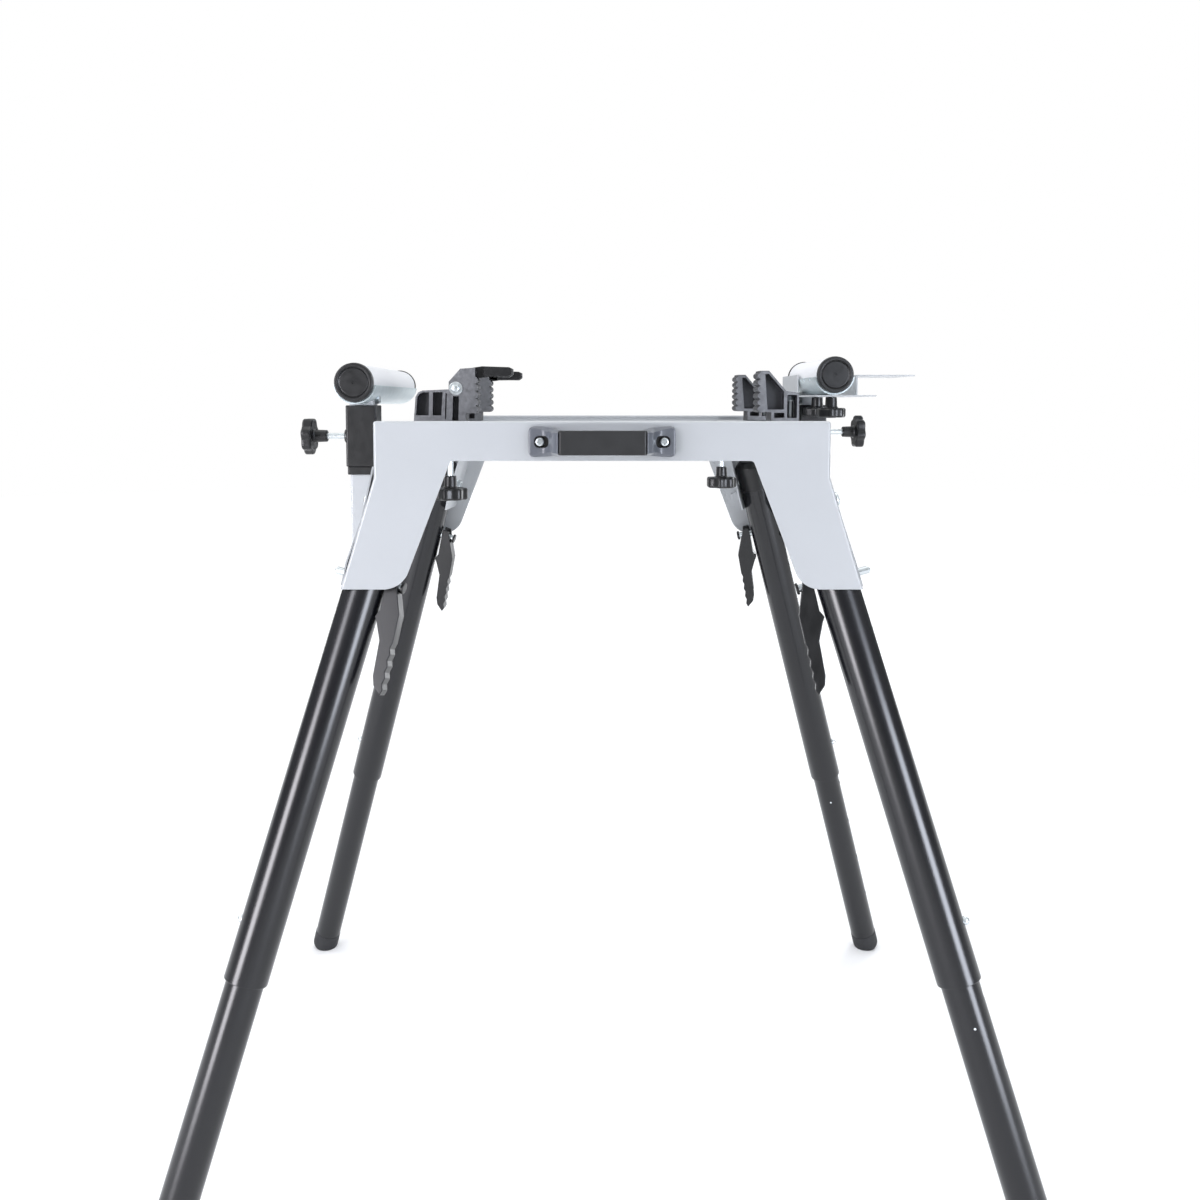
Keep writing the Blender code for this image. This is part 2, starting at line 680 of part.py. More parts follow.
def lever_outline():
    points = [lever_point(*share) for share in LEVER_BACK_SHARES]
    steps = 2 * LEVER_WAVES
    for i in range(steps + 1):
        share = i / steps
        depth = LEVER_GRIP_DEPTH_SHARES[0] + share * (LEVER_GRIP_DEPTH_SHARES[1] - LEVER_GRIP_DEPTH_SHARES[0])
        down = LEVER_GRIP_SHARES[0] + share * (LEVER_GRIP_SHARES[1] - LEVER_GRIP_SHARES[0])
        x, z = lever_point(depth, down)
        points.append((x + (i % 2) * LEVER_WAVE, z))
    points += [lever_point(*share) for share in LEVER_TIP_SHARES]
    points.append((NOSE_RELIEF, 0))
    return points + [lever_point(*share) for share in LEVER_NECK_SHARES]


def make_lever(prefix, frame, finish):
    place = frame @ Matrix.Translation((-NOSE_IN, 0, -NOSE_AT))
    half = LEVER_WIDTH / 2
    lever = new_object(f"{prefix}_lever", prism(lever_outline(), "Y", -half, half), finish, place)
    slot = PIN_R + FORK_SLACK
    bottom = NOSE_AT - PIN_AT - PIN_R - FORK_DEEP
    fork = box((-LEVER_DEPTH, OVERRUN), (-slot, slot), (bottom, NOSE_AT - LEVER_TOP + OVERRUN))
    cut(lever, tool(f"{prefix} lever fork", fork, place))
    channel = prism([lever_point(*share) for share in LEVER_CHANNEL_SHARES], "Y", LEVER_WALL - half, half - LEVER_WALL)
    cut(lever, tool(f"{prefix} lever channel", channel, place))


# Hinge brackets

def plane_x(frame, y, z, offset):
    """X of the point at (y, z) on the plane that lies offset along the pivot from the leg's axis."""
    pivot = frame.translation
    out = frame.to_3x3().col[0]
    return pivot.x + (offset - out.y * (y - pivot.y) - out.z * (z - pivot.z)) / out.x


def slanted_sheet(frame, face, outline, near, far):
    """A sheet square to the pivot, from an outline of (distance from the middle, drop) points."""
    shape = bmesh.new()
    loops = []
    for offset in (near, far):
        places = [(face * y, TOP - drop) for y, drop in outline]
        loops.append([shape.verts.new((plane_x(frame, y, z, offset), y, z)) for y, z in places])
    shape.faces.new(loops[0])
    shape.faces.new(list(reversed(loops[1])))
    count = len(outline)
    for i in range(count):
        j = (i + 1) % count
        shape.faces.new((loops[0][i], loops[1][i], loops[1][j], loops[0][j]))
    return shape


def make_hinge_bracket(prefix, side, face, frame, look):
    """A clevis of bent sheet: web on the panel, inner cheek, bridge over the leg, and outer cheek."""
    pivot_y = abs(frame.translation.y)
    outside = CHEEK_INSIDE + CHEEK_SHEET
    web_y = PANEL_FACE - SHEET - GAP
    back = pivot_y - CHEEK_BACK
    top = BRIDGE_DROP
    inner = [
        (web_y, top), (back, top), (back, WEB_DROP - 2 * CHEEK_CORNER), (back + CHEEK_CORNER, WEB_DROP),
        (web_y, WEB_DROP),
    ]
    sheet = slanted_sheet(frame, face, inner, -CHEEK_INSIDE, -outside)
    bracket = new_object(f"{prefix}_hinge_bracket", sheet, look["panel"])

    middle = CHEEK_INSIDE + CHEEK_SHEET / 2
    eye = abs((frame @ Vector((middle, 0, 0))).y)
    pin = abs((frame @ Vector((middle, 0, -PIN_AT))).y)
    front, rear = eye + CHEEK_FRONT_EDGE, eye - CHEEK_REAR_EDGE
    toe, heel = pin + CHEEK_TOE_EDGE, pin - CHEEK_HEEL_EDGE
    outer = [
        (front, top), (rear, top), (rear, CHEEK_HEEL_DROP), (heel, CHEEK_TOE_DROP), (heel, CHEEK_END_DROP),
        (toe, CHEEK_END_DROP), (toe, CHEEK_TOE_DROP), (front, CHEEK_FRONT_DROP),
    ]
    weld(bracket, tool(f"{prefix} outer cheek", slanted_sheet(frame, face, outer, CHEEK_INSIDE, outside)))

    z = (TOP - top - BRIDGE_SHEET, TOP - top)
    corners = []
    for y, offset in ((rear, -outside), (rear, outside), (front, outside), (front, -outside)):
        corners.append((plane_x(frame, face * y, z[1], offset), face * y))
    weld(bracket, tool(f"{prefix} bridge", prism(corners, "Z", *z)))

    web = []
    for drop in (top, WEB_DROP):
        web.append((plane_x(frame, face * web_y, TOP - drop, -outside + OVERLAP), TOP - drop))
    for drop in (WEB_DROP, top):
        web.append((side * (inner_x(drop) + WEB_EDGE), TOP - drop))
    y = sorted((face * web_y, face * (web_y - CHEEK_SHEET)))
    weld(bracket, tool(f"{prefix} bracket web", prism(web, "Y", *y)))
    nut_x = (plane_x(frame, face * web_y, TOP - FLANGE_NUT_DROP, -outside)
             + side * (inner_x(FLANGE_NUT_DROP) + WEB_EDGE)) / 2
    y = sorted((face * (web_y - OVERLAP), face * (web_y - CHEEK_SHEET - FLANGE_NUT)))
    nut = prism(circle(FLANGE_NUT_R, 6, (nut_x, TOP - FLANGE_NUT_DROP)), "Y", *y)
    weld(bracket, tool(f"{prefix} bracket nut", nut))

    reach = outside + OVERRUN
    bore = rod("X", (0, 0), PIVOT_R + SLACK, -reach, reach)
    cut(bracket, tool(f"{prefix} bracket bore", bore, frame))
    radius = PIN_R + SLACK
    low, high = CHEEK_INSIDE - OVERRUN, outside + OVERRUN
    cut(bracket, tool(f"{prefix} pin notch", rod("X", (0, -PIN_AT), radius, low, high), frame))
    inwards = -face * math.copysign(1, frame.to_3x3().col[1].y)
    run = inwards * CHEEK_BACK
    slot = [
        (0, radius - PIN_AT), (run, radius - PIN_AT + PIN_RISE), (run, -radius - PIN_AT - PIN_RISE / 2),
        (0, -radius - PIN_AT),
    ]
    cut(bracket, tool(f"{prefix} pin slot", prism(slot, "X", low, high), frame))


def make_leg(prefix, side, face, look):
    frame = leg_frame(side, face)
    make_upper_leg(prefix, frame, look["leg"])
    make_lower_leg(prefix, frame, look["leg"])
    make_foot(prefix, frame, look["rubber"])
    make_button(prefix, frame, look["zinc"])
    make_pivot_bolt(prefix, frame, look["zinc"])
    make_lock_pin(prefix, frame, look["zinc"])
    make_lever(prefix, frame, look["lever"])
    make_hinge_bracket(prefix, side, face, frame, look)


# Supports

def knob_outline(radius):
    """Seven soft lobes, four points to a lobe."""
    count = 4 * KNOB_LOBES
    points = []
    for i in range(count):
        turn = math.tau * i / count
        dip = (1 - math.cos(KNOB_LOBES * turn)) / 2
        points.append((turn, radius * (1 - KNOB_DIP_SHARE * dip)))
    return points


def make_knob(name, radius, disc, hub, screw, finish, place):
    """A lobed knob; its origin is the middle of its outer face, and its screw points along z."""
    shape = bmesh.new()
    outline = knob_outline(radius)
    turns = [turn for turn, _ in outline[::2]]

    def loop(points, height, share=1):
        return [shape.verts.new((share * r * math.cos(t), share * r * math.sin(t), height)) for t, r in points]

    def join(one, two):
        for i in range(len(one)):
            j = (i + 1) % len(one)
            shape.faces.new((one[i], one[j], two[j], two[i]))

    face = loop(outline, 0, KNOB_FACE_SHARE)
    low = loop(outline, KNOB_EDGE_SHARE * disc)
    high = loop(outline, disc)
    rounds = [
        loop([(t, r) for t in turns], height)
        for r, height in (
            (KNOB_HUB_R, disc), (KNOB_HUB_R, disc + hub), (SCREW_R, disc + hub), (SCREW_R, disc + hub + screw),
        )
    ]
    shape.faces.new(list(reversed(face)))
    join(face, low)
    join(low, high)
    count = len(turns)
    for i in range(count):
        j = (i + 1) % count
        ahead = high[(2 * i + 2) % len(high)]
        shape.faces.new((high[2 * i], high[2 * i + 1], ahead, rounds[0][j], rounds[0][i]))
    for one, two in zip(rounds, rounds[1:]):
        join(one, two)
    shape.faces.new(rounds[-1])
    return new_object(name, shape, finish, place)


def make_sleeve(prefix, side, rail_y, block_x, finish, place):
    centre = (block_x, rail_y)
    block = new_object(f"{prefix}_sleeve", prism(square(BLOCK_SIDE, centre), "Z", -BLOCK_DROP, BLOCK_HIGH), finish, place)
    bevel = block.modifiers.new("Soft edges", "BEVEL")
    bevel.width = BLOCK_EDGE
    bevel.segments = 1
    skirt = prism(square(SKIRT_SIDE, centre), "Z", -SKIRT_DROP, -BLOCK_DROP + OVERRUN)
    weld(block, tool(f"{prefix} sleeve skirt", skirt, place))
    face = BLOCK_SIDE / 2
    span = sorted((block_x + side * (face - OVERLAP), block_x + side * (face + BOSS)))
    weld(block, tool(f"{prefix} sleeve boss", rod("X", (rail_y, -POST_SCREW_DROP), BOSS_R, *span), place))
    bore = prism(square(POST_BORE, centre), "Z", -SKIRT_DROP - OVERRUN, BLOCK_HIGH + OVERRUN)
    cut(block, tool(f"{prefix} sleeve bore", bore, place))
    span = sorted((block_x, block_x + side * (face + BOSS + OVERRUN)))
    hole = rod("X", (rail_y, -POST_SCREW_DROP), SCREW_R + SLACK, *span)
    cut(block, tool(f"{prefix} sleeve screw hole", hole, place))


def arc(radius, centre, start, end, steps):
    points = []
    for i in range(steps + 1):
        turn = math.radians(start + (end - start) * i / steps)
        points.append((centre[0] + radius * math.cos(turn), centre[1] + radius * math.sin(turn)))
    return points


def make_post(prefix, rail_y, block_x, roller_high, roller_y, finish, place):
    """A square tube with a half-round trough of sheet welded across its top."""
    top = roller_high - TROUGH_R + TROUGH_WALL
    tube = ring(
        square(POST_SIDE, (block_x, rail_y)), square(POST_SIDE - 2 * POST_WALL, (block_x, rail_y)),
        "Z", -POST_DROP, top + OVERRUN,
    )
    post = new_object(f"{prefix}_post", tube, finish, place)
    centre = (block_x, roller_high)
    start, end = STRAIGHT_DOWN - TROUGH_SPAN / 2, STRAIGHT_DOWN + TROUGH_SPAN / 2
    section = arc(TROUGH_R + TROUGH_WALL, centre, start, end, 10) + arc(TROUGH_R, centre, end, start, 10)
    span = (roller_y[0] + TROUGH_END, roller_y[1] - TROUGH_END)
    weld(post, tool(f"{prefix} trough", prism(section, "Y", *span), place))
    inside = arc(TROUGH_R, centre, start, end, 10)
    room = prism(inside, "Y", roller_y[0] - OVERRUN, roller_y[1] + OVERRUN)
    cut(post, tool(f"{prefix} roller room", room, place))
    return post


def make_roller(prefix, block_x, roller_high, roller_y, finish, place):
    length = roller_y[1] - roller_y[0]
    profile = [
        (0, ROLLER_DISH), (ROLLER_DISH_R, ROLLER_DISH), (ROLLER_DISH_R + ROLLER_DISH, 0),
        (ROLLER_CAP_R - ROLLER_ROUND, 0), (ROLLER_CAP_R, ROLLER_ROUND), (ROLLER_CAP_R, ROLLER_CAP),
        (ROLLER_R, ROLLER_CAP + ROLLER_STEP),
    ]
    mirrored = [(r, length - z) for r, z in reversed(profile)]
    spot = place @ Matrix.Translation((block_x, roller_y[0], roller_high)) @ turn_to("Y")
    new_object(f"{prefix}_roller", turned(profile + mirrored, 24), finish, spot)


def make_support(prefix, side, rail_y, block_x, knob_x, roller_high, roller_y, look):
    place = Matrix.Translation((0, 0, TOP))
    inner_face = block_x - side * (BLOCK_SIDE / 2 + GAP)
    span = sorted((inner_face, inner_face - side * ARM_LENGTH))
    centre = (rail_y, -RAIL_DROP)
    tube = ring(square(ARM_SIDE, centre), square(ARM_SIDE - 2 * ARM_WALL, centre), "X", *span)
    new_object(f"{prefix}_arm", tube, look["tube"], place)
    make_sleeve(prefix, side, rail_y, block_x, look["plastic"], place)
    post = make_post(prefix, rail_y, block_x, roller_high, roller_y, look["tube"], place)
    make_roller(prefix, block_x, roller_high, roller_y, look["roller"], place)

    screw = POST_KNOB_OUT - POST_KNOB_DISC - POST_KNOB_HUB - POST_SIDE / 2 - GAP
    spot = Matrix.Translation((block_x + side * POST_KNOB_OUT, rail_y, -POST_SCREW_DROP)) @ turn_to("X", -side)
    make_knob(
        f"{prefix}_post_knob", POST_KNOB_R, POST_KNOB_DISC, POST_KNOB_HUB, screw, look["plastic"], place @ spot,
    )
    screw = ARM_KNOB_DROP - ARM_KNOB_DISC - ARM_KNOB_HUB - RAIL_DROP - ARM_SIDE / 2 - GAP
    spot = Matrix.Translation((knob_x, rail_y, -ARM_KNOB_DROP))
    make_knob(f"{prefix}_arm_knob", ARM_KNOB_R, ARM_KNOB_DISC, ARM_KNOB_HUB, screw, look["plastic"], place @ spot)
    return post


# Workpiece stop

def make_stop(post, look):
    """Bent sheet stop: slotted base under the trough, face plate towards the saw, riser and tongue."""
    place = Matrix.Translation((0, 0, TOP))
    base_high = RIGHT_ROLLER_HIGH - TROUGH_R - TROUGH_WALL - GAP
    base_low = base_high - STOP_SHEET
    face_x = RIGHT_BLOCK_X - TROUGH_R - TROUGH_WALL - GAP - STOP_SHEET
    riser_x = RIGHT_BLOCK_X + STOP_RISER_OUT
    tip_x = RIGHT_BLOCK_X + STOP_TONGUE_OUT
    outline = [
        (face_x, -STOP_FACE_DROP), (face_x + STOP_SHEET, -STOP_FACE_DROP), (face_x + STOP_SHEET, base_low),
        (riser_x + STOP_SHEET, base_low), (riser_x + STOP_SHEET, STOP_TONGUE_HIGH - STOP_SHEET),
        (tip_x, STOP_TONGUE_HIGH - STOP_SHEET), (tip_x, STOP_TONGUE_HIGH), (riser_x, STOP_TONGUE_HIGH),
        (riser_x, base_high), (face_x + STOP_SHEET, base_high), (face_x + STOP_SHEET, STOP_TONGUE_HIGH),
        (face_x, STOP_TONGUE_HIGH),
    ]
    stop = new_object("stop_plate", prism(outline, "Y", STOP_BASE_Y[0], STOP_FACE_Y[1]), look["panel"], place)
    z = (-STOP_FACE_DROP - OVERRUN, STOP_TONGUE_HIGH + OVERRUN)
    between = (face_x + STOP_SHEET, riser_x)
    room = box(between, (STOP_BASE_Y[1], STOP_FACE_Y[1] + OVERRUN), z)
    cut(stop, tool("Stop room for the post", room, place))
    front = (STOP_BASE_Y[0] - OVERRUN, STOP_FACE_Y[0])
    cut(stop, tool("Stop face trim", box((face_x - OVERRUN, face_x + STOP_SHEET), front, z), place))
    cut(stop, tool("Stop tongue trim", box((riser_x, tip_x + OVERRUN), front, z), place))
    radius = SCREW_R + SLACK
    for number, y in enumerate(STOP_KNOB_Y):
        low, high = base_low - OVERRUN, base_high + OVERRUN
        ends = (RIGHT_BLOCK_X - radius, RIGHT_BLOCK_X + STOP_TRAVEL + radius)
        cut(stop, tool(f"Stop slot {number + 1}", box(ends, (y - radius, y + radius), (low, high)), place))
        bore = rod("Z", (RIGHT_BLOCK_X, y), radius, low, RIGHT_ROLLER_HIGH)
        cut(post, tool(f"Trough screw hole {number + 1}", bore, place))
        screw = RIGHT_ROLLER_HIGH - TROUGH_R - base_low
        knob_low = base_low - GAP - STOP_KNOB_DISC - STOP_KNOB_HUB
        spot = place @ Matrix.Translation((RIGHT_BLOCK_X, y, knob_low))
        name = f"stop_knob_{('front', 'back')[number]}"
        make_knob(name, STOP_KNOB_R, STOP_KNOB_DISC, STOP_KNOB_HUB, screw, look["plastic"], spot)


# Saw clamps

def toothed(band_shares):
    """The gripping face from bottom to top, with trapezoid teeth."""
    low, high = (share * CLAMP_HEIGHT for share in band_shares)
    pitch = (high - low) / TEETH
    points = []
    for i in range(TEETH):
        base = low + i * pitch
        points += [
            (0, base), (-TOOTH_DEPTH, base + TOOTH_RISE_SHARE * pitch),
            (-TOOTH_DEPTH, base + TOOTH_FALL_SHARE * pitch),
        ]
    return points + [(0, high)]


def clamp_place(face_x, side, rail_y):
    base = TOP - RAIL_DROP + RAIL_SIDE / 2 + GAP
    move = Matrix.Translation((face_x, rail_y, base))
    return move if side > 0 else move @ Matrix.Rotation(math.pi, 4, "Z")


def clamp_body(name, outline_shares, length, band_shares, place, finish):
    outline = scaled(outline_shares, length, CLAMP_HEIGHT) + list(reversed(toothed(band_shares)))
    outline.append((CLAMP_HEEL_SHARE * length, 0))
    return new_object(name, prism(outline, "Y", -CLAMP_WIDTH / 2, CLAMP_WIDTH / 2), finish, place)


def pockets(clamp, name, outline, place):
    """Cast pockets in both flanks that leave a web in the middle."""
    for label, side in side_pair():
        span = sorted((side * CLAMP_WEB / 2, side * (CLAMP_WIDTH / 2 + OVERRUN)))
        cut(clamp, tool(f"{name} {label}", prism(outline, "Y", *span), place))


def make_right_clamp(name, rail_y, look):
    place = clamp_place(RIGHT_FACE_X, 1, rail_y)
    clamp = clamp_body(name, RIGHT_OUTLINE_SHARES, RIGHT_CLAMP_LENGTH, TOOTH_BAND_SHARES, place, look["cast"])
    for label, shares in (("pocket", RIGHT_POCKET_SHARES), ("slot", RIGHT_SLOT_SHARES)):
        pockets(clamp, f"{name} {label}", scaled(shares, RIGHT_CLAMP_LENGTH, CLAMP_HEIGHT), place)
    low = CLAMP_HEIGHT / 2 - OVERLAP
    head = rod("Z", (CLAMP_BOLT_AT, 0), CLAMP_BOLT_R, low, CLAMP_BOLT_HIGH, 6)
    weld(clamp, tool(f"{name} bolt head", head, place))


def make_left_clamp(name, rail_y, look):
    place = clamp_place(LEFT_FACE_X, -1, rail_y)
    clamp = clamp_body(name, LEFT_OUTLINE_SHARES, LEFT_CLAMP_LENGTH, LEFT_TOOTH_BAND_SHARES, place, look["cast"])
    for number, shares in enumerate(LEFT_POCKET_SHARES):
        pockets(clamp, f"{name} pocket {number + 1}", scaled(shares, LEFT_CLAMP_LENGTH, CLAMP_HEIGHT), place)
    reach = CLAMP_WIDTH / 2 + CROSS_BOLT_HEAD
    bolt = rod("Y", (CROSS_BOLT_AT, CROSS_BOLT_HIGH), CROSS_BOLT_R, -reach, reach, 10)
    weld(clamp, tool(f"{name} cross bolt", bolt, place))
    slot = FINGER_SLOT_WIDTH / 2
    ends = (-TOOTH_DEPTH - OVERRUN, FINGER_PIN_AT + FINGER_SLOT_BACK)
    notch = box(ends, (-slot, slot), (FINGER_PIN_HIGH - FINGER_SLOT_DROP, CLAMP_HEIGHT + 2 * OVERRUN))
    cut(clamp, tool(f"{name} finger slot", notch, place))
    reach = FINGER_WING_WIDTH / 2 + GAP
    bore = rod("Y", (FINGER_PIN_AT, FINGER_PIN_HIGH), FINGER_PIN_R + SLACK, -reach, reach)
    cut(clamp, tool(f"{name} finger pin bore", bore, place))


def make_finger(name, rail_y, look):
    """Hold-down finger with its pin; it points at the saw and flips up."""
    place = clamp_place(LEFT_FACE_X, -1, rail_y) @ Matrix.Translation((FINGER_PIN_AT, 0, FINGER_PIN_HIGH))
    half = FINGER_KNUCKLE_WIDTH / 2
    outline = arc(FINGER_KNUCKLE_R, (0, 0), -FINGER_KNUCKLE_TURN, FINGER_KNUCKLE_TURN, 6)
    outline += scaled(FINGER_BAR_SHARES, FINGER_LENGTH, FINGER_HEIGHT)
    finger = new_object(name, prism(outline, "Y", -half, half), look["plastic"], place)
    half = FINGER_WING_WIDTH / 2
    wing = prism(scaled(FINGER_WING_SHARES, FINGER_LENGTH, FINGER_HEIGHT), "Y", -half, half)
    weld(finger, tool(f"{name} wing", wing, place))
    weld(finger, tool(f"{name} pin", rod("Y", (0, 0), FINGER_PIN_R, -half, half, 10), place))


# Carry handle

def make_handle(panel, look):
    place = Matrix.Translation((0, -PANEL_FACE - GAP, TOP - HANDLE_DROP))
    plate, grip, stand = HANDLE_PLATE, HANDLE_GRIP_HALF, HANDLE_STAND
    back = stand - HANDLE_GRIP_THICK
    right = [
        (grip - HANDLE_CORNER, -stand), (grip + HANDLE_CORNER / 2, -stand + HANDLE_CORNER),
        (grip + HANDLE_FLARE, -plate), (HANDLE_HALF - HANDLE_EDGE, -plate), (HANDLE_HALF, -plate + HANDLE_EDGE),
        (HANDLE_HALF, 0), (grip, 0), (grip - HANDLE_CORNER, -back),
    ]
    outline = right + [(-x, y) for x, y in reversed(right)]
    half = HANDLE_END_HEIGHT / 2
    handle = new_object("carry_handle", prism(outline, "Z", -half, half), look["plastic"], place)
    waist_x = grip - HANDLE_CORNER
    waist = [(-waist_x, -stand - OVERRUN), (waist_x, -stand - OVERRUN), (waist_x, 0), (-waist_x, 0)]
    trim = HANDLE_GRIP_HEIGHT / 2
    for label, side in (("bottom", -1), ("top", 1)):
        span = sorted((side * trim, side * (half + OVERRUN)))
        cut(handle, tool(f"Handle {label} waist", prism(waist, "Z", *span), place))
    seat = -plate + HANDLE_RECESS
    bore_r = HANDLE_SCREW_R + SLACK
    for label, side in side_pair():
        spot = (side * HANDLE_SCREW_X, 0)
        recess = rod("Y", spot, HANDLE_RECESS_R, -plate - OVERRUN, seat, 16)
        cut(handle, tool(f"Handle {label} recess", recess, place))
        cut(handle, tool(f"Handle {label} bore", rod("Y", spot, bore_r, -plate - OVERRUN, OVERRUN), place))
        reach = SHEET + OVERRUN
        cut(panel, tool(f"Handle {label} panel bore", rod("Y", spot, bore_r, -reach, reach), place))
        head = seat - GAP
        profile = [
            (0, HANDLE_SCREW_LENGTH), (HANDLE_SCREW_R, HANDLE_SCREW_LENGTH), (HANDLE_SCREW_R, head),
            (HANDLE_SCREW_HEAD_R, head), (HANDLE_SCREW_CROWN_R, head - HANDLE_SCREW_HEAD),
            (0, head - HANDLE_SCREW_HEAD),
        ]
        screw_place = place @ Matrix.Translation((side * HANDLE_SCREW_X, 0, 0)) @ turn_to("Y")
        new_object(f"handle_screw_{label}", turned(profile, SMALL_ROUND), look["zinc"], screw_place)


def main():
    for old in list(bpy.data.objects):
        bpy.data.objects.remove(old)
    look = finishes()
    front = make_panel("front_panel", -1, look["panel"])
    make_panel("back_panel", 1, look["panel"])
    make_rail_frame(look["panel"])
    for where, face in (("front", -1), ("back", 1)):
        for label, side in side_pair():
            make_leg(f"{where}_{label}", side, face, look)
    make_support("left", -1, -RAIL_Y, LEFT_BLOCK_X, ARM_KNOB_LEFT_X, LEFT_ROLLER_HIGH, LEFT_ROLLER_Y, look)
    post = make_support(
        "right", 1, RAIL_Y, RIGHT_BLOCK_X, ARM_KNOB_RIGHT_X, RIGHT_ROLLER_HIGH, RIGHT_ROLLER_Y, look,
    )
    make_stop(post, look)
    for where, face in (("front", -1), ("back", 1)):
        make_right_clamp(f"{where}_right_clamp", face * RAIL_Y, look)
        make_left_clamp(f"{where}_left_clamp", face * RAIL_Y, look)
        make_finger(f"{where}_hold_down_finger", face * RAIL_Y, look)
    make_handle(front, look)


main()
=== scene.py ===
"""Looks of a folding miter saw stand, laid out as an add-on.

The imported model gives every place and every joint; the pieces here stand for its nodes with rounder
edges, real sheet folds, moulded knobs and their finishes. Metres, +Z up, -Y towards the handle.
"""

import json
import math

import bmesh
import bpy
from mathutils import Matrix, Vector


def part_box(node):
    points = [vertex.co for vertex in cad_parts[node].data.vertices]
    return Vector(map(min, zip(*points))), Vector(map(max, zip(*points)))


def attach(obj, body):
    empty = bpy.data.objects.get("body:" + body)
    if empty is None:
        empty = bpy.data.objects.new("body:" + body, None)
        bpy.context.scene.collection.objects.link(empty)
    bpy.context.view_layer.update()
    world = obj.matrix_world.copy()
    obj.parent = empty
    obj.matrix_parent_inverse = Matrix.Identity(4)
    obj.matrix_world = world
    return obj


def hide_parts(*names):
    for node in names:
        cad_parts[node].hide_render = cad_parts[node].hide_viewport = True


bl_info = {
    "name": "Miter Saw Stand",
    "version": (1, 0, 0),
    "blender": (4, 5, 0),
    "location": "View3D > Sidebar > Stand",
    "description": "Builds the visible pieces of a folding miter saw stand round its frame",
    "category": "Object",
}

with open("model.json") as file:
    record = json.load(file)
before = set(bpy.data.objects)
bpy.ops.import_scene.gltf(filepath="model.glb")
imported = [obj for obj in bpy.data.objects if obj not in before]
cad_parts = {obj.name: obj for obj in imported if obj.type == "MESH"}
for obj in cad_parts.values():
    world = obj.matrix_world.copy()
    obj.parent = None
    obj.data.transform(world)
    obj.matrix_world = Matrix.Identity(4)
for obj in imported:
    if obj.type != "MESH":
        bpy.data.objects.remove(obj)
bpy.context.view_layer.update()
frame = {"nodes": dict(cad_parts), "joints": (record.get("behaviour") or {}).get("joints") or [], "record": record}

MM = 0.001
GAP = 0.3 * MM
FINE, COARSE = 0.002 * MM, 0.01 * MM
SHARP = math.radians(32)
BEHAVIOUR = frame["record"]["behaviour"]
BODY_OF = {node: body for body, nodes in BEHAVIOUR["bodies"].items() for node in nodes}
JOINTS = {joint["name"]: joint for joint in frame["joints"]}
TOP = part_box("front_panel")[1].z
SIDES = (("left", -1), ("right", 1))
FACES = (("front", -1), ("back", 1))
LEGS = [f"{where}_{label}" for where, _ in FACES for label, _ in SIDES]

# Sheet metal
PANEL_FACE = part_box("back_panel")[1].y
SHEET = 2 * MM
SHEET_EDGE = 0.35 * MM
EDGE_START = 185.9 * MM
EDGE_SLOPE = 0.3111
EDGE_KINK_DROP = 49.8 * MM
PANEL_HALF = EDGE_START + EDGE_SLOPE * EDGE_KINK_DROP
INNER_START = 120.1 * MM
INNER_SLOPE = 0.386
BEAM_DROP = 35 * MM
BRACKET_DROP = 149.3 * MM
INNER_CORNER = 24 * MM
BEAM_FILLET = 4 * MM
RIM = 6 * MM

# Rails and arms
RAIL_Y = 79.5 * MM
RAIL_Z = TOP - 20.9 * MM
RAIL_SIDE = 33 * MM
RAIL_BORE = 28.2 * MM
RAIL_HALF = 200 * MM
CROSS_IN, CROSS_OUT = 152 * MM, 182 * MM
CROSS_WALL = 2.4 * MM
CROSS_INSET = 1 * MM
WELD = (3.2 * MM, 2.4 * MM)
ARM_SIDE = 27 * MM
ARM_BORE = ARM_SIDE - 3.6 * MM
TUBE_CORNER, BORE_CORNER = 2.4 * MM, 1 * MM

# Legs, measured down from the pivot
TUBE_R, TUBE_BORE = 19 * MM, 17.3 * MM
LOWER_R, LOWER_BORE = 16.5 * MM, 14.9 * MM
UPPER_END = 428.4 * MM
LOWER_START, LOWER_END = 345 * MM, 688 * MM
LIP = 0.8 * MM
BUTTON_AT = 381.4 * MM
HOLE_PITCH = 60 * MM
HOLE_COUNT = 5
HOLE_R = 4.25 * MM
CROWN_END = 9 * MM
PIVOT_SEAT = 21.5
PIN_AT = 69 * MM
FOOT_END = 718 * MM
FOOT_R = 16.9 * MM
STUD_AT = 463 * MM

# Hand knobs in millimetres: radius, depth of the disc, length of the neck, reach of the screw
POST_KNOB = (18.6, 10, 13, 47.1)
ARM_KNOB = (17.3, 12, 12, 46.3)
STOP_KNOB = (15.3, 10, 11.4)
KNOB_DIP = 0.13
THREAD_PITCH, THREAD_DEPTH = 1, 0.12

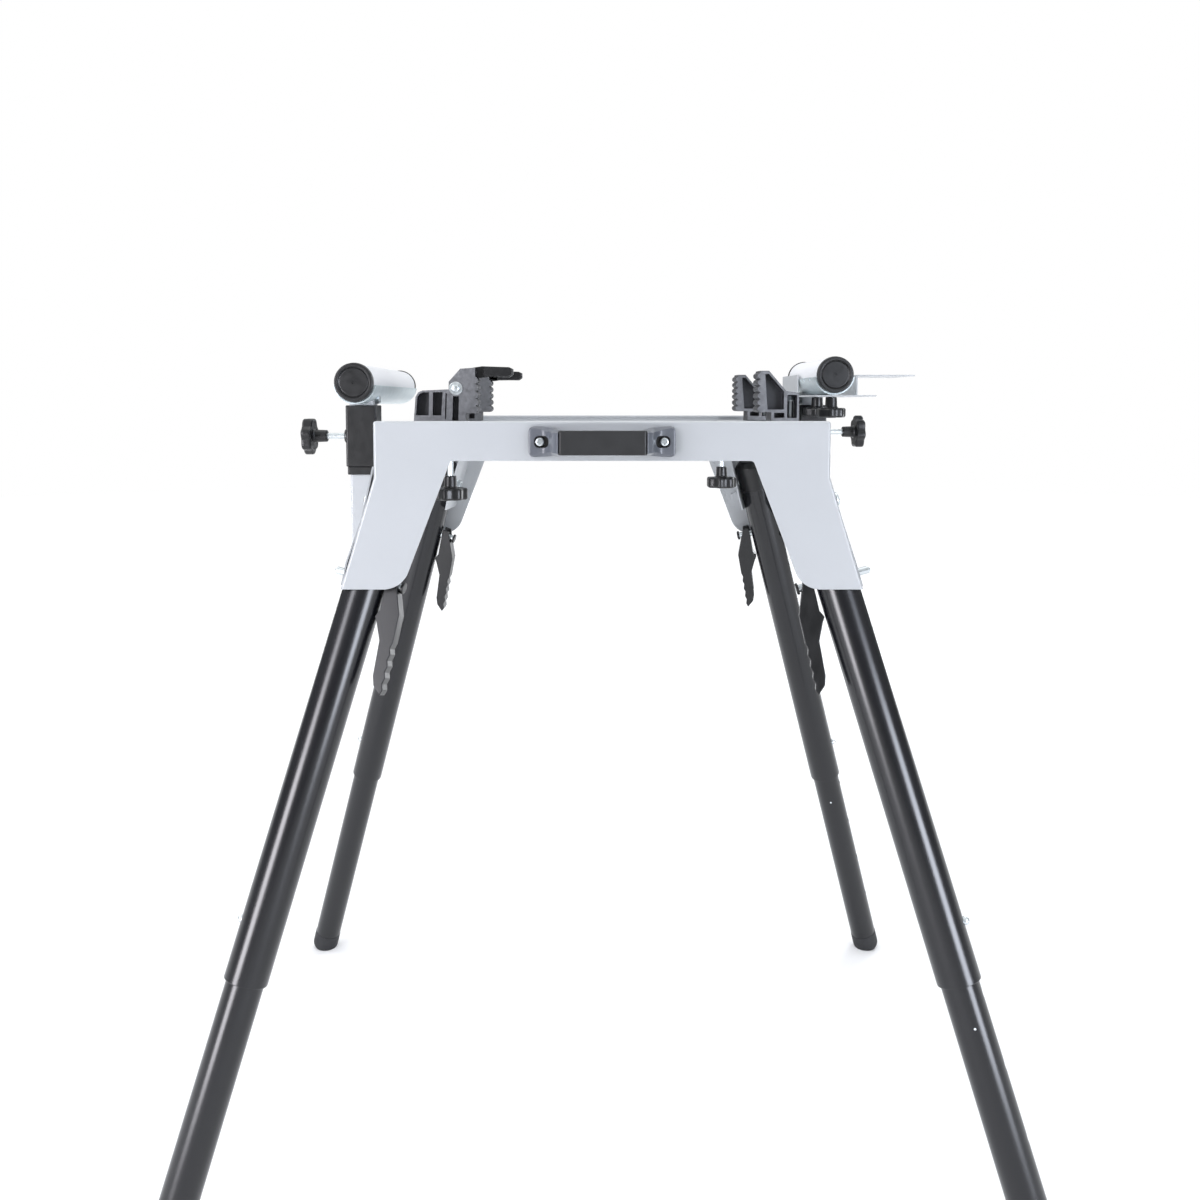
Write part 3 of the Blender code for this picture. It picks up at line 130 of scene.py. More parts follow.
# Supports
BLOCK_SIDE = 30.4 * MM
BLOCK_HIGH, BLOCK_DROP, SKIRT_DROP = 13.6 * MM, 47 * MM, 55 * MM
SKIRT_SIDE = 28.2 * MM
POST_SIDE, POST_INSIDE, POST_BORE = 24 * MM, 20.4 * MM, 24.8 * MM
POST_DROP = 132 * MM
SCREW_R = 3 * MM
TROUGH_R, TROUGH_WALL = 19.2 * MM, 1.5 * MM
TROUGH_SPAN = 166
TROUGH_END = 6 * MM
SLOT, SLOT_DROP = (9 * MM, 3.4 * MM, 1.6 * MM), 4 * MM
ROLLER_R = 17.9 * MM
ROLLER_CAP, ROLLER_EDGE = 5 * MM, 0.3 * MM
SUPPORTS = {
    "left": {
        "side": -1, "x": -236 * MM, "y": -RAIL_Y, "high": 35.5 * MM, "roller": (-128 * MM, 142 * MM),
        "slots": (),
    },
    "right": {
        "side": 1, "x": 243 * MM, "y": RAIL_Y, "high": 45 * MM, "roller": (-45 * MM, 125 * MM),
        "slots": (34 * MM, 62 * MM),
    },
}
POST_KNOB_AT = 59.4 * MM
POST_SCREW_DROP = 17 * MM
ARM_KNOB_X = {"left": -150 * MM, "right": 141.7 * MM}
ARM_KNOB_DROP = 81 * MM
STOP_KNOB_Y = {"front": -25 * MM, "back": 45.5 * MM}

# Saw clamps
CLAMP_WIDTH = 29 * MM
CLAMP_WEB = 8 * MM
CLAMP_CORNER = 0.9 * MM
RIGHT_FACE_X, LEFT_FACE_X = 154.5 * MM, -120.5 * MM
CLAMP_BASE = RAIL_Z + RAIL_SIDE / 2 + GAP
TOOTH = 2.6 * MM
# Outlines in millimetres: x outwards from the toothed face, z up from the rail
RIGHT_TEETH = (2.8, 10.6, 50, 6)
RIGHT_CASTING = ((2.8, 51.6), (11.7, 51.6), (28.8, 31.6), (41.6, 29.6), (41.6, 0), (13.7, 0), (13.7, 10.6))
RIGHT_POCKETS = (
    ((8, 48.2), (11.4, 48.2), (26.3, 31), (26.3, 13.8), (10.6, 13.8)),
    ((17.2, 10), (26.8, 10), (26.8, 5.6), (17.2, 5.6)),
)
RIGHT_BAY = ((30, 27.6), (39.2, 27.6), (39.2, 5.4), (30, 5.4))
CLAMP_BOLT_AT, CLAMP_NUT_AT = 35.5 * MM, 23 * MM
LEFT_TEETH = (2.6, 9.8, 46, 5)
LEFT_CASTING = (
    (2.6, 54.6), (17.2, 53.6), (28.6, 41), (28.8, 33.4), (54.5, 32.2), (58.8, 30.4), (61.4, 26), (63.6, 0),
    (12, 0), (12, 9.8),
)
LEFT_POCKETS = (
    ((48, 30.4), (54, 30.4), (57.6, 28.8), (59.6, 25.6), (61.2, 7.8), (48.6, 7.8)),
    ((34.6, 30.6), (44.2, 30.4), (44.8, 7.8), (36.2, 7.8)),
    ((18.6, 26.6), (24.6, 26.6), (25.4, 2.4), (19.4, 2.4)),
    ((30.6, 29.6), (31.8, 29.6), (32.6, 4), (31.4, 4)),
)
CROSS_BOLT_AT, CROSS_BOLT_HIGH = 21.6 * MM, 34.2 * MM
FINGER_PIN = (4 * MM, 50 * MM)
FINGER_PIN_R, FINGER_PIN_HALF = 2.15 * MM, 11.3 * MM
FINGER_SLOT = (12.4 * MM, 42 * MM)

# Carry handle
HANDLE_Z = TOP - 18 * MM
HANDLE_SCREW_X = 54.5 * MM
HANDLE_RECESS_X = 53.1 * MM
# Screw recess, and the black cup floor and cup wall set in it as painted shade: width, height and corner in
# millimetres
RECESS, RECESS_SHADE_FLOOR, RECESS_SHADE_WALL = (13, 10.6, 4.4), (12.6, 10.2, 4.2), (11.8, 9.4, 3.8)
GRIP, GRIP_HALF = (75.2 * MM, 12 * MM, 2.4 * MM), 10.4 * MM
GRIP_LIP, GRIP_LIP_HALF = (1.2 * MM, 8.4 * MM, 0.4 * MM), 9 * MM
# Stations of half the handle in millimetres, from the middle outwards:
# x, y, lean in degrees, thickness, height, height of the front face
HANDLE_STATIONS = (
    (0, -32, 0, 11.4, 21, 18), (33, -31.7, 0, 11.4, 21, 18), (36.1, -30.7, 25, 10.8, 21.2, 17.8),
    (38.4, -28.5, 50, 10, 21.4, 17.4), (39.2, -25.7, 75, 8.8, 21.8, 17.4), (40.8, -19.6, 78, 7.6, 22.4, 17.6),
    (43, -10.6, 70, 7.6, 24, 18), (47, -5.6, 36, 7.4, 25.4, 19), (52.4, -3.5, 6, 6.6, 26.4, 21),
    (60.2, -3, 0, 6, 26.8, 24), (62.2, -3, 0, 5.8, 25.7, 23), (63.4, -2.9, 0, 5.5, 23.8, 21.4),
    (64, -2.8, 0, 5, 21.4, 19.4), (64.2, -2.7, 0, 4.4, 19, 17.4),
)

# Stage: the camera, then each lamp's place, target, size, watts and tint; glints only show in reflections
CAMERA_PLACE = (-0.0151, -1.1807, TOP + 0.0161)
CAMERA_PITCH = 4.217
CAMERA_LENS, CAMERA_SENSOR = 33, 36
CAMERA_SHIFT = (0.0126, -0.0968)
FLOOR_R, FLOOR_THICK = 9, 0.02
LAMPS = {
    "Left softbox": ((-1.75, -1.85, 0.95), (-0.1, 0, 0.55), (0.8, 2.1), 41, "F6F6FF"),
    "Left glint": ((-1.77, -1.87, 0.52), (-0.1, 0, 0.48), (0.9, 0.9), 24, "FFFBFF"),
    "Right softbox": ((1.6, -1.85, 1.05), (0.1, 0, 0.55), (0.8, 2.0), 13, "E6EEFF"),
    "Right glint": ((1.62, -1.87, 0.52), (0.1, 0, 0.48), (0.95, 0.9), 40, "EEF3FF"),
    "Left fill": ((-1.9, 0.1, 1.95), (0.2, 0, 0.75), (1.2, 0.8), 12, "FFFFFF"),
    "Top softbox": ((0.2, 0.3, 2.5), (0, 0, 0.7), (1.8, 1.8), 12, "FFFFFF"),
    "Back softbox": ((1.5, 2.1, 1.0), (0, 0, 0.5), (0.7, 2.0), 24, "F8FBFF"),
    "Back strip": ((-1.4, 1.9, 0.9), (0, 0, 0.5), (0.3, 1.7), 6, "FFFFFF"),
}


def linear(hex_colour):
    """One sRGB hex colour as linear red, green, blue and alpha."""
    parts = []
    for i in (0, 2, 4):
        channel = int(hex_colour[i:i + 2], 16) / 255
        parts.append(channel / 12.92 if channel <= 0.04045 else ((channel + 0.055) / 1.055) ** 2.4)
    return (*parts, 1.0)


def colour(label, words, hex_colour):
    return bpy.props.FloatVectorProperty(
        name=label, description=words, subtype="COLOR", size=4, min=0, max=1, default=linear(hex_colour)
    )


def length(label, words, value):
    return bpy.props.FloatProperty(name=label, description=words, unit="LENGTH", default=value, min=0)


def count(label, words, value):
    return bpy.props.IntProperty(name=label, description=words, default=value, min=3, max=400)


class StandColours(bpy.types.PropertyGroup):
    panel: colour("Panels", "Powder coat of the pressed panels, rails and brackets", "B5B8BB")
    leg: colour("Legs", "Stoved enamel on the leg tubes", "0D0E13")
    arm: colour("Arms", "Paint on the square arms, posts and stop", "C3C6C9")
    roller: colour("Rollers", "Enamel on the roller sleeves", "F0F1F4")
    zinc: colour("Zinc", "Bright zinc plate on screws, nuts, pins and buttons", "D0D6D8")
    trough: colour("Troughs", "Blue-passivated zinc of the troughs under the rollers", "D2DDE0")
    moulding: colour("Mouldings", "Black nylon of knobs, sleeves, caps and fingers", "0C0D0F")
    lever: colour("Levers", "Glass-filled nylon of the release levers", "0B0C0E")
    # The clamps' dark paint is partly painted shade for their pockets; the lighter rims are a painted highlight on
    # their flanks
    casting: colour("Clamps", "Dark paint on the saw clamps", "3A3B3F")
    rim: colour("Clamp rims", "Saw clamp flanks painted lighter as a highlight", "77787B")
    rubber: colour("Feet", "Rubber of the feet", "202124")
    handle: colour("Handle", "Graphite moulding of the carry handle", "5A5E66")
    grip: colour("Grip", "Soft inlay of the carry handle", "08090B")
    floor: colour("Floor", "Studio floor", "F4F4F5")


class StandSizes(bpy.types.PropertyGroup):
    fold_radius: length("Fold radius", "Outer radius of the panels' folded rims", 2.5 * MM)
    # Orange peel is really 1 to 2 mm wide. The skin of castings and of eroded moulds is a few times
    # finer than these two grains, and is drawn as coarse as it needs to be to show.
    paint_grain: length("Paint grain", "Width of one dimple of the powder coat's orange peel", 1.4 * MM)
    cast_grain: length("Cast grain", "Width of one grain on the die castings", 0.9 * MM)
    mould_grain: length("Mould grain", "Width of one grain of the spark-eroded moulds", 0.6 * MM)
    knob_edge: length("Knob edge", "Rounding of a knob's rim", 2.2 * MM)
    weld_pitch: length("Weld pitch", "Distance between two ripples of a weld bead", 1.7 * MM)
    knob_lobes: count("Knob lobes", "Lobes round a knob", 7)
    facets: count("Facets", "Faces round a tube", 72)


# Modelling

def along(axis, first, second, distance):
    """The point at a distance along an axis, with its two other coordinates in order."""
    if axis == "X":
        return Vector((distance, first, second))
    if axis == "Y":
        return Vector((first, distance, second))
    return Vector((first, second, distance))


def pull(shape, faces, travel):
    """Extrude faces along a vector."""
    raised = bmesh.ops.extrude_face_region(shape, geom=faces)["geom"]
    bmesh.ops.translate(shape, verts=[v for v in raised if isinstance(v, bmesh.types.BMVert)], vec=travel)
    return shape


def prism(points, axis, low, high):
    """Extrude a flat outline along an axis. X takes (y, z), Y takes (x, z), Z takes (x, y)."""
    shape = bmesh.new()
    corners = [shape.verts.new(along(axis, a, b, low)) for a, b in points]
    return pull(shape, [shape.faces.new(corners)], along(axis, 0, 0, high - low))


def ring(outer, inner, axis, low, high):
    """A tube between two outlines with the same number of points."""
    shape = bmesh.new()
    loops = [[shape.verts.new(along(axis, a, b, low)) for a, b in points] for points in (outer, inner)]
    faces = []
    for i in range(len(outer)):
        j = (i + 1) % len(outer)
        faces.append(shape.faces.new((loops[0][i], loops[0][j], loops[1][j], loops[1][i])))
    return pull(shape, faces, along(axis, 0, 0, high - low))


def circle(radius, faces, centre=(0, 0)):
    turns = [math.tau * (i + 0.5) / faces for i in range(faces)]
    return [(centre[0] + radius * math.cos(t), centre[1] + radius * math.sin(t)) for t in turns]


def arc(radius, centre, start, end, steps):
    turns = [math.radians(start + (end - start) * i / steps) for i in range(steps + 1)]
    return [(centre[0] + radius * math.cos(t), centre[1] + radius * math.sin(t)) for t in turns]


def rounded_box(width, height, corner, centre=(0, 0), steps=5):
    """Outline of a rectangle with round corners."""
    points = []
    for i, (sx, sy) in enumerate(((1, 1), (-1, 1), (-1, -1), (1, -1))):
        middle = (centre[0] + sx * (width / 2 - corner), centre[1] + sy * (height / 2 - corner))
        points += arc(corner, middle, 90 * i, 90 * i + 90, steps)
    return points


def rounded(corner, before, after, radius, steps):
    """Points that replace one corner of an outline with an arc."""
    corner, before, after = Vector(corner), Vector(before), Vector(after)
    one = (before - corner).normalized()
    two = (after - corner).normalized()
    half = one.angle(two) / 2
    centre = corner + (one + two).normalized() * radius / math.sin(half)
    reach = radius / math.tan(half)
    first = corner + one * reach - centre
    turn = first.angle_signed(corner + two * reach - centre)
    return [tuple(centre + Matrix.Rotation(-turn * i / steps, 2) @ first) for i in range(steps + 1)]


def square_tube(side, bore, corner, axis, low, high, centre):
    """A tube of square section whose hole has a smaller corner."""
    outer = rounded_box(side, side, TUBE_CORNER, centre)
    return ring(outer, rounded_box(bore, bore, corner, centre), axis, low, high)


def lathe(profile, faces):
    """Turn a profile of (radius, height) points about Z; one that starts off the axis is closed first."""
    shape = bmesh.new()
    points = [shape.verts.new((r, 0, z)) for r, z in profile]
    edges = [shape.edges.new(pair) for pair in zip(points, points[1:])]
    if profile[0][0] > 0:
        edges.append(shape.edges.new((points[-1], points[0])))
    bmesh.ops.spin(
        shape, geom=points + edges, cent=(0, 0, 0), axis=(0, 0, 1), angle=math.tau, steps=faces,
        use_merge=True,
    )
    merge(shape, FINE)
    return shape


def turned(profile, faces=40):
    """A lathe part whose profile is in millimetres."""
    return lathe([(r * MM, z * MM) for r, z in profile], faces)


def outward(shape):
    """Turn every face outwards."""
    bmesh.ops.recalc_face_normals(shape, faces=shape.faces)


def merge(shape, distance):
    bmesh.ops.remove_doubles(shape, verts=shape.verts, dist=distance)


def bevel(shape, edges, width, steps):
    bmesh.ops.bevel(
        shape, geom=edges, offset=width, segments=steps, profile=0.5, affect="EDGES", clamp_overlap=True
    )


def soften(shape, width, steps=2, least=35):
    """Round every edge that is sharper than an angle."""
    outward(shape)
    sharp = math.radians(least)
    edges = [e for e in shape.edges if len(e.link_faces) == 2 and e.calc_face_angle(0) > sharp]
    bevel(shape, edges, width, steps)
    return shape


def copy_of(node):
    """A node's solid with its loose triangles merged and its flat faces joined."""
    shape = bmesh.new()
    shape.from_mesh(frame["nodes"][node].data)
    for layer in list(shape.loops.layers.float_vector.values()):
        shape.loops.layers.float_vector.remove(layer)
    merge(shape, COARSE)
    bmesh.ops.dissolve_limit(shape, angle_limit=math.radians(0.6), verts=shape.verts, edges=shape.edges)
    return shape


def mesh_of(shape, name):
    """Move a shape into a new mesh."""
    mesh = bpy.data.meshes.new(name)
    shape.to_mesh(mesh)
    shape.free()
    return mesh


def placed(name, data):
    """A new object in the scene."""
    made = bpy.data.objects.new(name, data)
    bpy.context.scene.collection.objects.link(made)
    return made


def holder_of(shape, name="helper"):
    """A helper object that holds a shape."""
    return placed(name, mesh_of(shape, name))


def boolean(holder, helper, operation):
    """Cut a helper object out of a holder, or keep what both share."""
    modifier = holder.modifiers.new("Boolean", "BOOLEAN")
    modifier.operation = operation
    modifier.solver = "EXACT"
    modifier.object = helper


def frozen(holder, extra=()):
    """The evaluated mesh of a helper object as a bmesh; the helpers are removed."""
    graph = bpy.context.evaluated_depsgraph_get()
    mesh = bpy.data.meshes.new_from_object(holder.evaluated_get(graph))
    shape = bmesh.new()
    shape.from_mesh(mesh)
    bpy.data.meshes.remove(mesh)
    for old in (holder, *extra):
        data = old.data
        bpy.data.objects.remove(old)
        bpy.data.meshes.remove(data)
    return shape


def carved(shape, cutters):
    """Cut helper shapes out of a shape."""
    outward(shape)
    holder = holder_of(shape)
    tools = []
    for cutter in cutters:
        outward(cutter)
        tools.append(holder_of(cutter))
        boolean(holder, tools[-1], "DIFFERENCE")
    return frozen(holder, tools)


def turn_to(axis, sign=1):
    """A rotation that lays local z along an axis."""
    if axis == "X":
        return Matrix.Rotation(math.radians(90 * sign), 4, "Y")
    return Matrix.Rotation(math.radians(-90 * sign), 4, "X")


def at(x, y, z):
    return Matrix.Translation((x, y, z))


def upside_down():
    return Matrix.Rotation(math.pi, 4, "X")


def build(name, parts, node):
    """Join (shape, place, finish) parts into one piece that rides its body and stands for its node.

    A part with two finishes gives them as a pair, and its faces choose by their material index.
    """
    whole = bmesh.new()
    finishes = []
    for shape, place, choice in parts:
        options = choice if isinstance(choice, tuple) else (choice,)
        finishes += [one for one in options if one not in finishes]
        if place is not None:
            shape.transform(place)
        mesh = mesh_of(shape, "part")
        first = len(whole.faces)
        whole.from_mesh(mesh)
        bpy.data.meshes.remove(mesh)
        whole.faces.ensure_lookup_table()
        for face in whole.faces[first:]:
            face.material_index = finishes.index(options[min(face.material_index, len(options) - 1)])
            face.smooth = True
    outward(whole)
    mesh = mesh_of(whole, name)
    mesh.set_sharp_from_angle(angle=SHARP)
    for key in finishes:
        mesh.materials.append(finish(key))
    piece = placed(name, mesh)
    even = piece.modifiers.new("Even shading", "WEIGHTED_NORMAL")
    even.keep_sharp = True
    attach(piece, BODY_OF[node])
    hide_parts(node)


def leg_frame(prefix):
    """Frame on a leg's pivot: x outwards along the pivot, z up the leg."""
    fold = JOINTS[f"{prefix}_leg_fold"]
    up = Vector(JOINTS[f"{prefix}_leg_length"]["axis"]).normalized()
    out = Vector(fold["axis"]).normalized() * math.copysign(1, fold["axis"][0] * fold["pos_m"][0])
    across = up.cross(out)
    return Matrix.Translation(fold["pos_m"]) @ Matrix((out, across, up)).transposed().to_4x4()


def down_leg(prefix, drop):
    return leg_frame(prefix) @ at(0, 0, -drop)


# Finishes

def add(tree, kind, inputs=None, **settings):
    """Add a node. Inputs map a socket's name or number to a value or to another node's output."""
    node = tree.nodes.new(kind)
    for key, value in settings.items():
        setattr(node, key, value)
    for socket, value in (inputs or {}).items():
        if isinstance(value, bpy.types.NodeSocket):
            tree.links.new(value, node.inputs[socket])
        else:
            node.inputs[socket].default_value = value
    return node


def new_material(name, values):
    """A material with its tree and the inputs of its shader."""
    made = bpy.data.materials.new(name)
    made.use_nodes = True
    tree = made.node_tree
    inputs = tree.nodes["Principled BSDF"].inputs
    for key, value in values.items():
        inputs[key].default_value = value
    return made, tree, inputs


def surface(name, base, drift, roughness, bump, metal=0.0, coat=0.0, coat_rough=0.1, stretch=(1, 1, 1)):
    """A finish with drifting colour, drifting gloss and a fine relief.

    base is a linear colour. drift is (patch width, how far the colour moves). roughness is
    (low, high, patch width). bump is (grain width, depth). All widths and depths are in metres.
    """
    made, tree, inputs = new_material(name, {
        "Metallic": metal, "Coat Weight": coat, "Coat Roughness": coat_rough,
    })
    spot = add(tree, "ShaderNodeTexCoord").outputs["Object"]
    spot = add(tree, "ShaderNodeMapping", {"Vector": spot, "Scale": stretch}).outputs["Vector"]

    width, move = drift
    patches = add(tree, "ShaderNodeTexNoise", {
        "Vector": spot, "Scale": 1 / width, "Detail": 4.0, "Roughness": 0.6,
    })
    shift = add(tree, "ShaderNodeMapRange", {
        "Value": patches.outputs["Fac"], "From Min": 0.3, "From Max": 0.7,
        "To Min": 1 - move, "To Max": 1 + move,
    })
    tint = add(tree, "ShaderNodeHueSaturation", {"Color": base, "Value": shift.outputs["Result"]})
    tree.links.new(tint.outputs["Color"], inputs["Base Color"])

    low, high, width = roughness
    cloud = add(tree, "ShaderNodeTexNoise", {"Vector": spot, "Scale": 1 / width, "Detail": 3.0})
    gloss = add(tree, "ShaderNodeMapRange", {
        "Value": cloud.outputs["Fac"], "From Min": 0.35, "From Max": 0.65, "To Min": low, "To Max": high,
    })
    tree.links.new(gloss.outputs["Result"], inputs["Roughness"])

    grain, depth = bump
    relief = add(tree, "ShaderNodeTexNoise", {
        "Vector": spot, "Scale": 1 / grain, "Detail": 2.0, "Roughness": 0.45,
    })
    height = add(tree, "ShaderNodeBump", {
        "Height": relief.outputs["Fac"], "Strength": 1.0, "Distance": depth,
    })
    tree.links.new(height.outputs["Normal"], inputs["Normal"])
    return made


PAINT, SATIN, WHITE = "Powder-coated steel", "Satin tube paint", "White roller enamel"
ENAMEL, ZINC, BLUE_ZINC = "Gloss black enamel", "Bright zinc plate", "Blue zinc plate"
NYLON, GLASS_NYLON, RUBBER = "Moulded black nylon", "Glass-filled nylon", "Foot rubber"
CAST = ("Painted die casting", "Casting flank painted highlight")
SHELL, INLAY = "Graphite polypropylene", "Soft grip elastomer"
# A row holds the colour's name, the drift, the roughness, the relief's grain and depth, and other settings.
# Patches and depths are in millimetres. A grain is a factor on a named size, or on a millimetre.
FINISHES = {
    # Polyester powder coat, sprayed and baked: even colour, satin sheen and a shallow orange peel
    PAINT: (
        "panel", (90, 0.012), (0.3, 0.38, 30), (1, "paint_grain", 0.006), {"coat": 0.2, "coat_rough": 0.15}),
    # Stoved enamel on drawn tube: a near-black body with long, slightly soft reflections
    ENAMEL: (
        "leg", (60, 0.1), (0.24, 0.27, 60), (3, "paint_grain", 0.001), {"coat": 0.1, "coat_rough": 0.2}),
    # Thin satin enamel on welded square tube and bent sheet
    SATIN: (
        "arm", (70, 0.015), (0.28, 0.36, 20), (1, "paint_grain", 0.005), {"coat": 0.1, "coat_rough": 0.2}),
    # White enamel on a turned sleeve, polished by the boards that roll on it
    WHITE: (
        "roller", (40, 0.01), (0.34, 0.38, 60), (3, "paint_grain", 0.001), {"coat": 0.1, "coat_rough": 0.3}),
    # Zinc plate, clear passivated: a bright metal with small cloudy crystals
    ZINC: ("zinc", (3, 0.05), (0.3, 0.38, 3), (0.5, None, 0.001), {"metal": 1.0}),
    # Blue-passivated zinc on rolled sheet: cooler, broader and duller shine than on turned parts
    BLUE_ZINC: ("trough", (14, 0.04), (0.3, 0.42, 9), (1, "paint_grain", 0.004), {"metal": 0.5}),
    # Nylon from a spark-eroded mould: black, with a fine even grain and a dull shine
    NYLON: ("moulding", (25, 0.06), (0.32, 0.4, 8), (1, "mould_grain", 0.01), {}),
    # Glass-filled nylon: streaks of fibre along the flow
    GLASS_NYLON: (
        "lever", (9, 0.1), (0.3, 0.38, 6), (1, "mould_grain", 0.012), {"stretch": (1, 1, 0.3)}),
    # Zinc-aluminium pressure casting under dark grey paint: a coarse skin with some metal shine; the dark grey is
    # partly painted shade for the pockets
    CAST[0]: ("casting", (12, 0.09), (0.4, 0.54, 5), (1, "cast_grain", 0.03), {"metal": 0.3}),
    # The same casting on its flat outer flanks, painted lighter and more metallic as a highlight
    CAST[1]: ("rim", (5, 0.16), (0.34, 0.5, 3), (1, "cast_grain", 0.02), {"metal": 0.7}),
    # Vulcanised rubber: matt, nearly black, slightly dusty
    RUBBER: ("rubber", (14, 0.12), (0.55, 0.7, 10), (0.8, None, 0.02), {}),
    # Polypropylene with a satin mould skin
    SHELL: ("handle", (20, 0.05), (0.3, 0.4, 8), (1, "mould_grain", 0.008), {}),
    # Thermoplastic elastomer overmould: soft, dark and matt
    INLAY: ("grip", (15, 0.06), (0.46, 0.56, 9), (0.9, None, 0.015), {}),
}


def finish(key):
    """The named finish, made once from the scene's colours and grain sizes."""
    if key in bpy.data.materials:
        return bpy.data.materials[key]
    label, (width, move), (low, high, patch), (factor, grain, depth), settings = FINISHES[key]
    base = getattr(bpy.context.scene.stand_colours, label)
    unit = getattr(bpy.context.scene.stand_sizes, grain) if grain else MM
    return surface(
        key, base, (width * MM, move), (low, high, patch * MM), (factor * unit, depth * MM), **settings
    )


# Geometry Nodes rules

def new_rule(name, sockets):
    """A tree with named inputs and a geometry output; returns the tree and its group input."""
    tree = bpy.data.node_groups.new(name, "GeometryNodeTree")
    tree.interface.new_socket("Geometry", in_out="INPUT", socket_type="NodeSocketGeometry")
    for label, kind in sockets:
        tree.interface.new_socket(label, in_out="INPUT", socket_type=f"NodeSocket{kind}")
    tree.interface.new_socket("Geometry", in_out="OUTPUT", socket_type="NodeSocketGeometry")
    return tree, add(tree, "NodeGroupInput")


def end_rule(tree, geometry, material):
    solid = add(tree, "GeometryNodeRealizeInstances", {"Geometry": geometry})
    painted = add(tree, "GeometryNodeSetMaterial", {
        "Geometry": solid.outputs["Geometry"], "Material": material,
    })
    add(tree, "NodeGroupOutput", {"Geometry": painted.outputs["Geometry"]})
    return tree


# The knob's rule in steps: a new value's name, the operation and what it works on
KNOB_STEPS = (
    ("turn", "ARCTAN2", "y", "x"),
    ("phase", "MULTIPLY", "turn", "Lobes"),
    ("wave", "COSINE", "phase"),
    ("hollow", "SUBTRACT", 1.0, "wave"),
    ("half dip", "MULTIPLY", "Dip", 0.5),
    ("dip", "MULTIPLY", "hollow", "half dip"),
    ("share", "SUBTRACT", 1.0, "dip"),
    ("lobed", "MULTIPLY", "Radius", "share"),
    ("swing", "MULTIPLY", "z", math.pi / 2),
    ("eased", "SINE", "swing"),
    ("lifted", "ADD", "eased", 1.0),
    ("half depth", "MULTIPLY", "Depth", 0.5),
    ("height", "MULTIPLY", "lifted", "half depth"),
    ("from top", "SUBTRACT", "Depth", "height"),
    ("near", "MINIMUM", "height", "from top"),
    ("room", "SUBTRACT", "Edge", "near"),
    ("inside", "MAXIMUM", "room", 0.0),
    ("edge square", "MULTIPLY", "Edge", "Edge"),
    ("inside square", "MULTIPLY", "inside", "inside"),
    ("left over", "SUBTRACT", "edge square", "inside square"),
    ("rest", "MAXIMUM", "left over", 0.0),
    ("bulge", "SQRT", "rest"),
    ("inset", "SUBTRACT", "Edge", "bulge"),
    ("rim", "SUBTRACT", "lobed", "inset"),
    ("rim x", "MULTIPLY", "x", "rim"),
    ("rim y", "MULTIPLY", "y", "rim"),
)


def knob_rule():
    """A disc with a lobed rim and rounded edges, from z = 0 up to its depth."""
    name = "Knob rule"
    if name in bpy.data.node_groups:
        return bpy.data.node_groups[name]
    tree, given = new_rule(name, (
        ("Radius", "Float"), ("Depth", "Float"), ("Lobes", "Int"), ("Dip", "Float"), ("Edge", "Float"),
        ("Facets", "Int"), ("Material", "Material"),
    ))
    disc = add(tree, "GeometryNodeMeshCylinder", {
        "Vertices": given.outputs["Facets"], "Side Segments": 14, "Fill Segments": 4, "Radius": 1.0,
        "Depth": 2.0,
    })
    spot = add(tree, "ShaderNodeSeparateXYZ", {0: add(tree, "GeometryNodeInputPosition").outputs[0]})
    values = {key: given.outputs[key] for key in ("Radius", "Depth", "Lobes", "Dip", "Edge")}
    values.update(zip("xyz", spot.outputs))
    for key, operation, *terms in KNOB_STEPS:
        inputs = {i: values.get(term, term) for i, term in enumerate(terms)}
        values[key] = add(tree, "ShaderNodeMath", inputs, operation=operation).outputs["Value"]
    spot = add(tree, "ShaderNodeCombineXYZ", {
        "X": values["rim x"], "Y": values["rim y"], "Z": values["height"],
    })
    moved = add(tree, "GeometryNodeSetPosition", {
        "Geometry": disc.outputs["Mesh"], "Position": spot.outputs["Vector"],
    })
    return end_rule(tree, moved.outputs["Geometry"], given.outputs["Material"])


def ribs_rule():
    """Beads in a row: a small stretched ball at every point, as a weld leaves them."""
    name = "Ribs rule"
    if name in bpy.data.node_groups:
        return bpy.data.node_groups[name]
    tree, given = new_rule(name, (
        ("Count", "Int"), ("Start", "Vector"), ("Step", "Vector"), ("Bar", "Vector"),
        ("Material", "Material"),
    ))
    row = add(tree, "GeometryNodeMeshLine", {
        "Count": given.outputs["Count"], "Start Location": given.outputs["Start"],
        "Offset": given.outputs["Step"],
    })
    bar = add(tree, "GeometryNodeMeshUVSphere", {"Segments": 12, "Rings": 8, "Radius": 0.5})
    spread = add(tree, "GeometryNodeInstanceOnPoints", {
        "Points": row.outputs["Mesh"], "Instance": bar.outputs["Mesh"], "Scale": given.outputs["Bar"],
    })
    return end_rule(tree, spread.outputs["Instances"], given.outputs["Material"])


def grown(tree, values):
    """The plain mesh that a rule gives for named values."""
    holder = holder_of(bmesh.new())
    modifier = holder.modifiers.new("Rule", "NODES")
    modifier.node_group = tree
    sockets = {item.name: item.identifier for item in tree.interface.items_tree if item.in_out == "INPUT"}
    for label, value in values.items():
        modifier[sockets[label]] = value
    return frozen(holder)


# Pieces

def panel_outline():
    bottom_out = (EDGE_START + EDGE_SLOPE * BRACKET_DROP, -BRACKET_DROP)
    bottom_in = (INNER_START + INNER_SLOPE * BRACKET_DROP, -BRACKET_DROP)
    beam_in = (INNER_START + INNER_SLOPE * BEAM_DROP, -BEAM_DROP)
    corner = rounded(bottom_in, bottom_out, beam_in, INNER_CORNER, 14)
    return corner + rounded(beam_in, bottom_in, (0, -BEAM_DROP), BEAM_FILLET, 8)


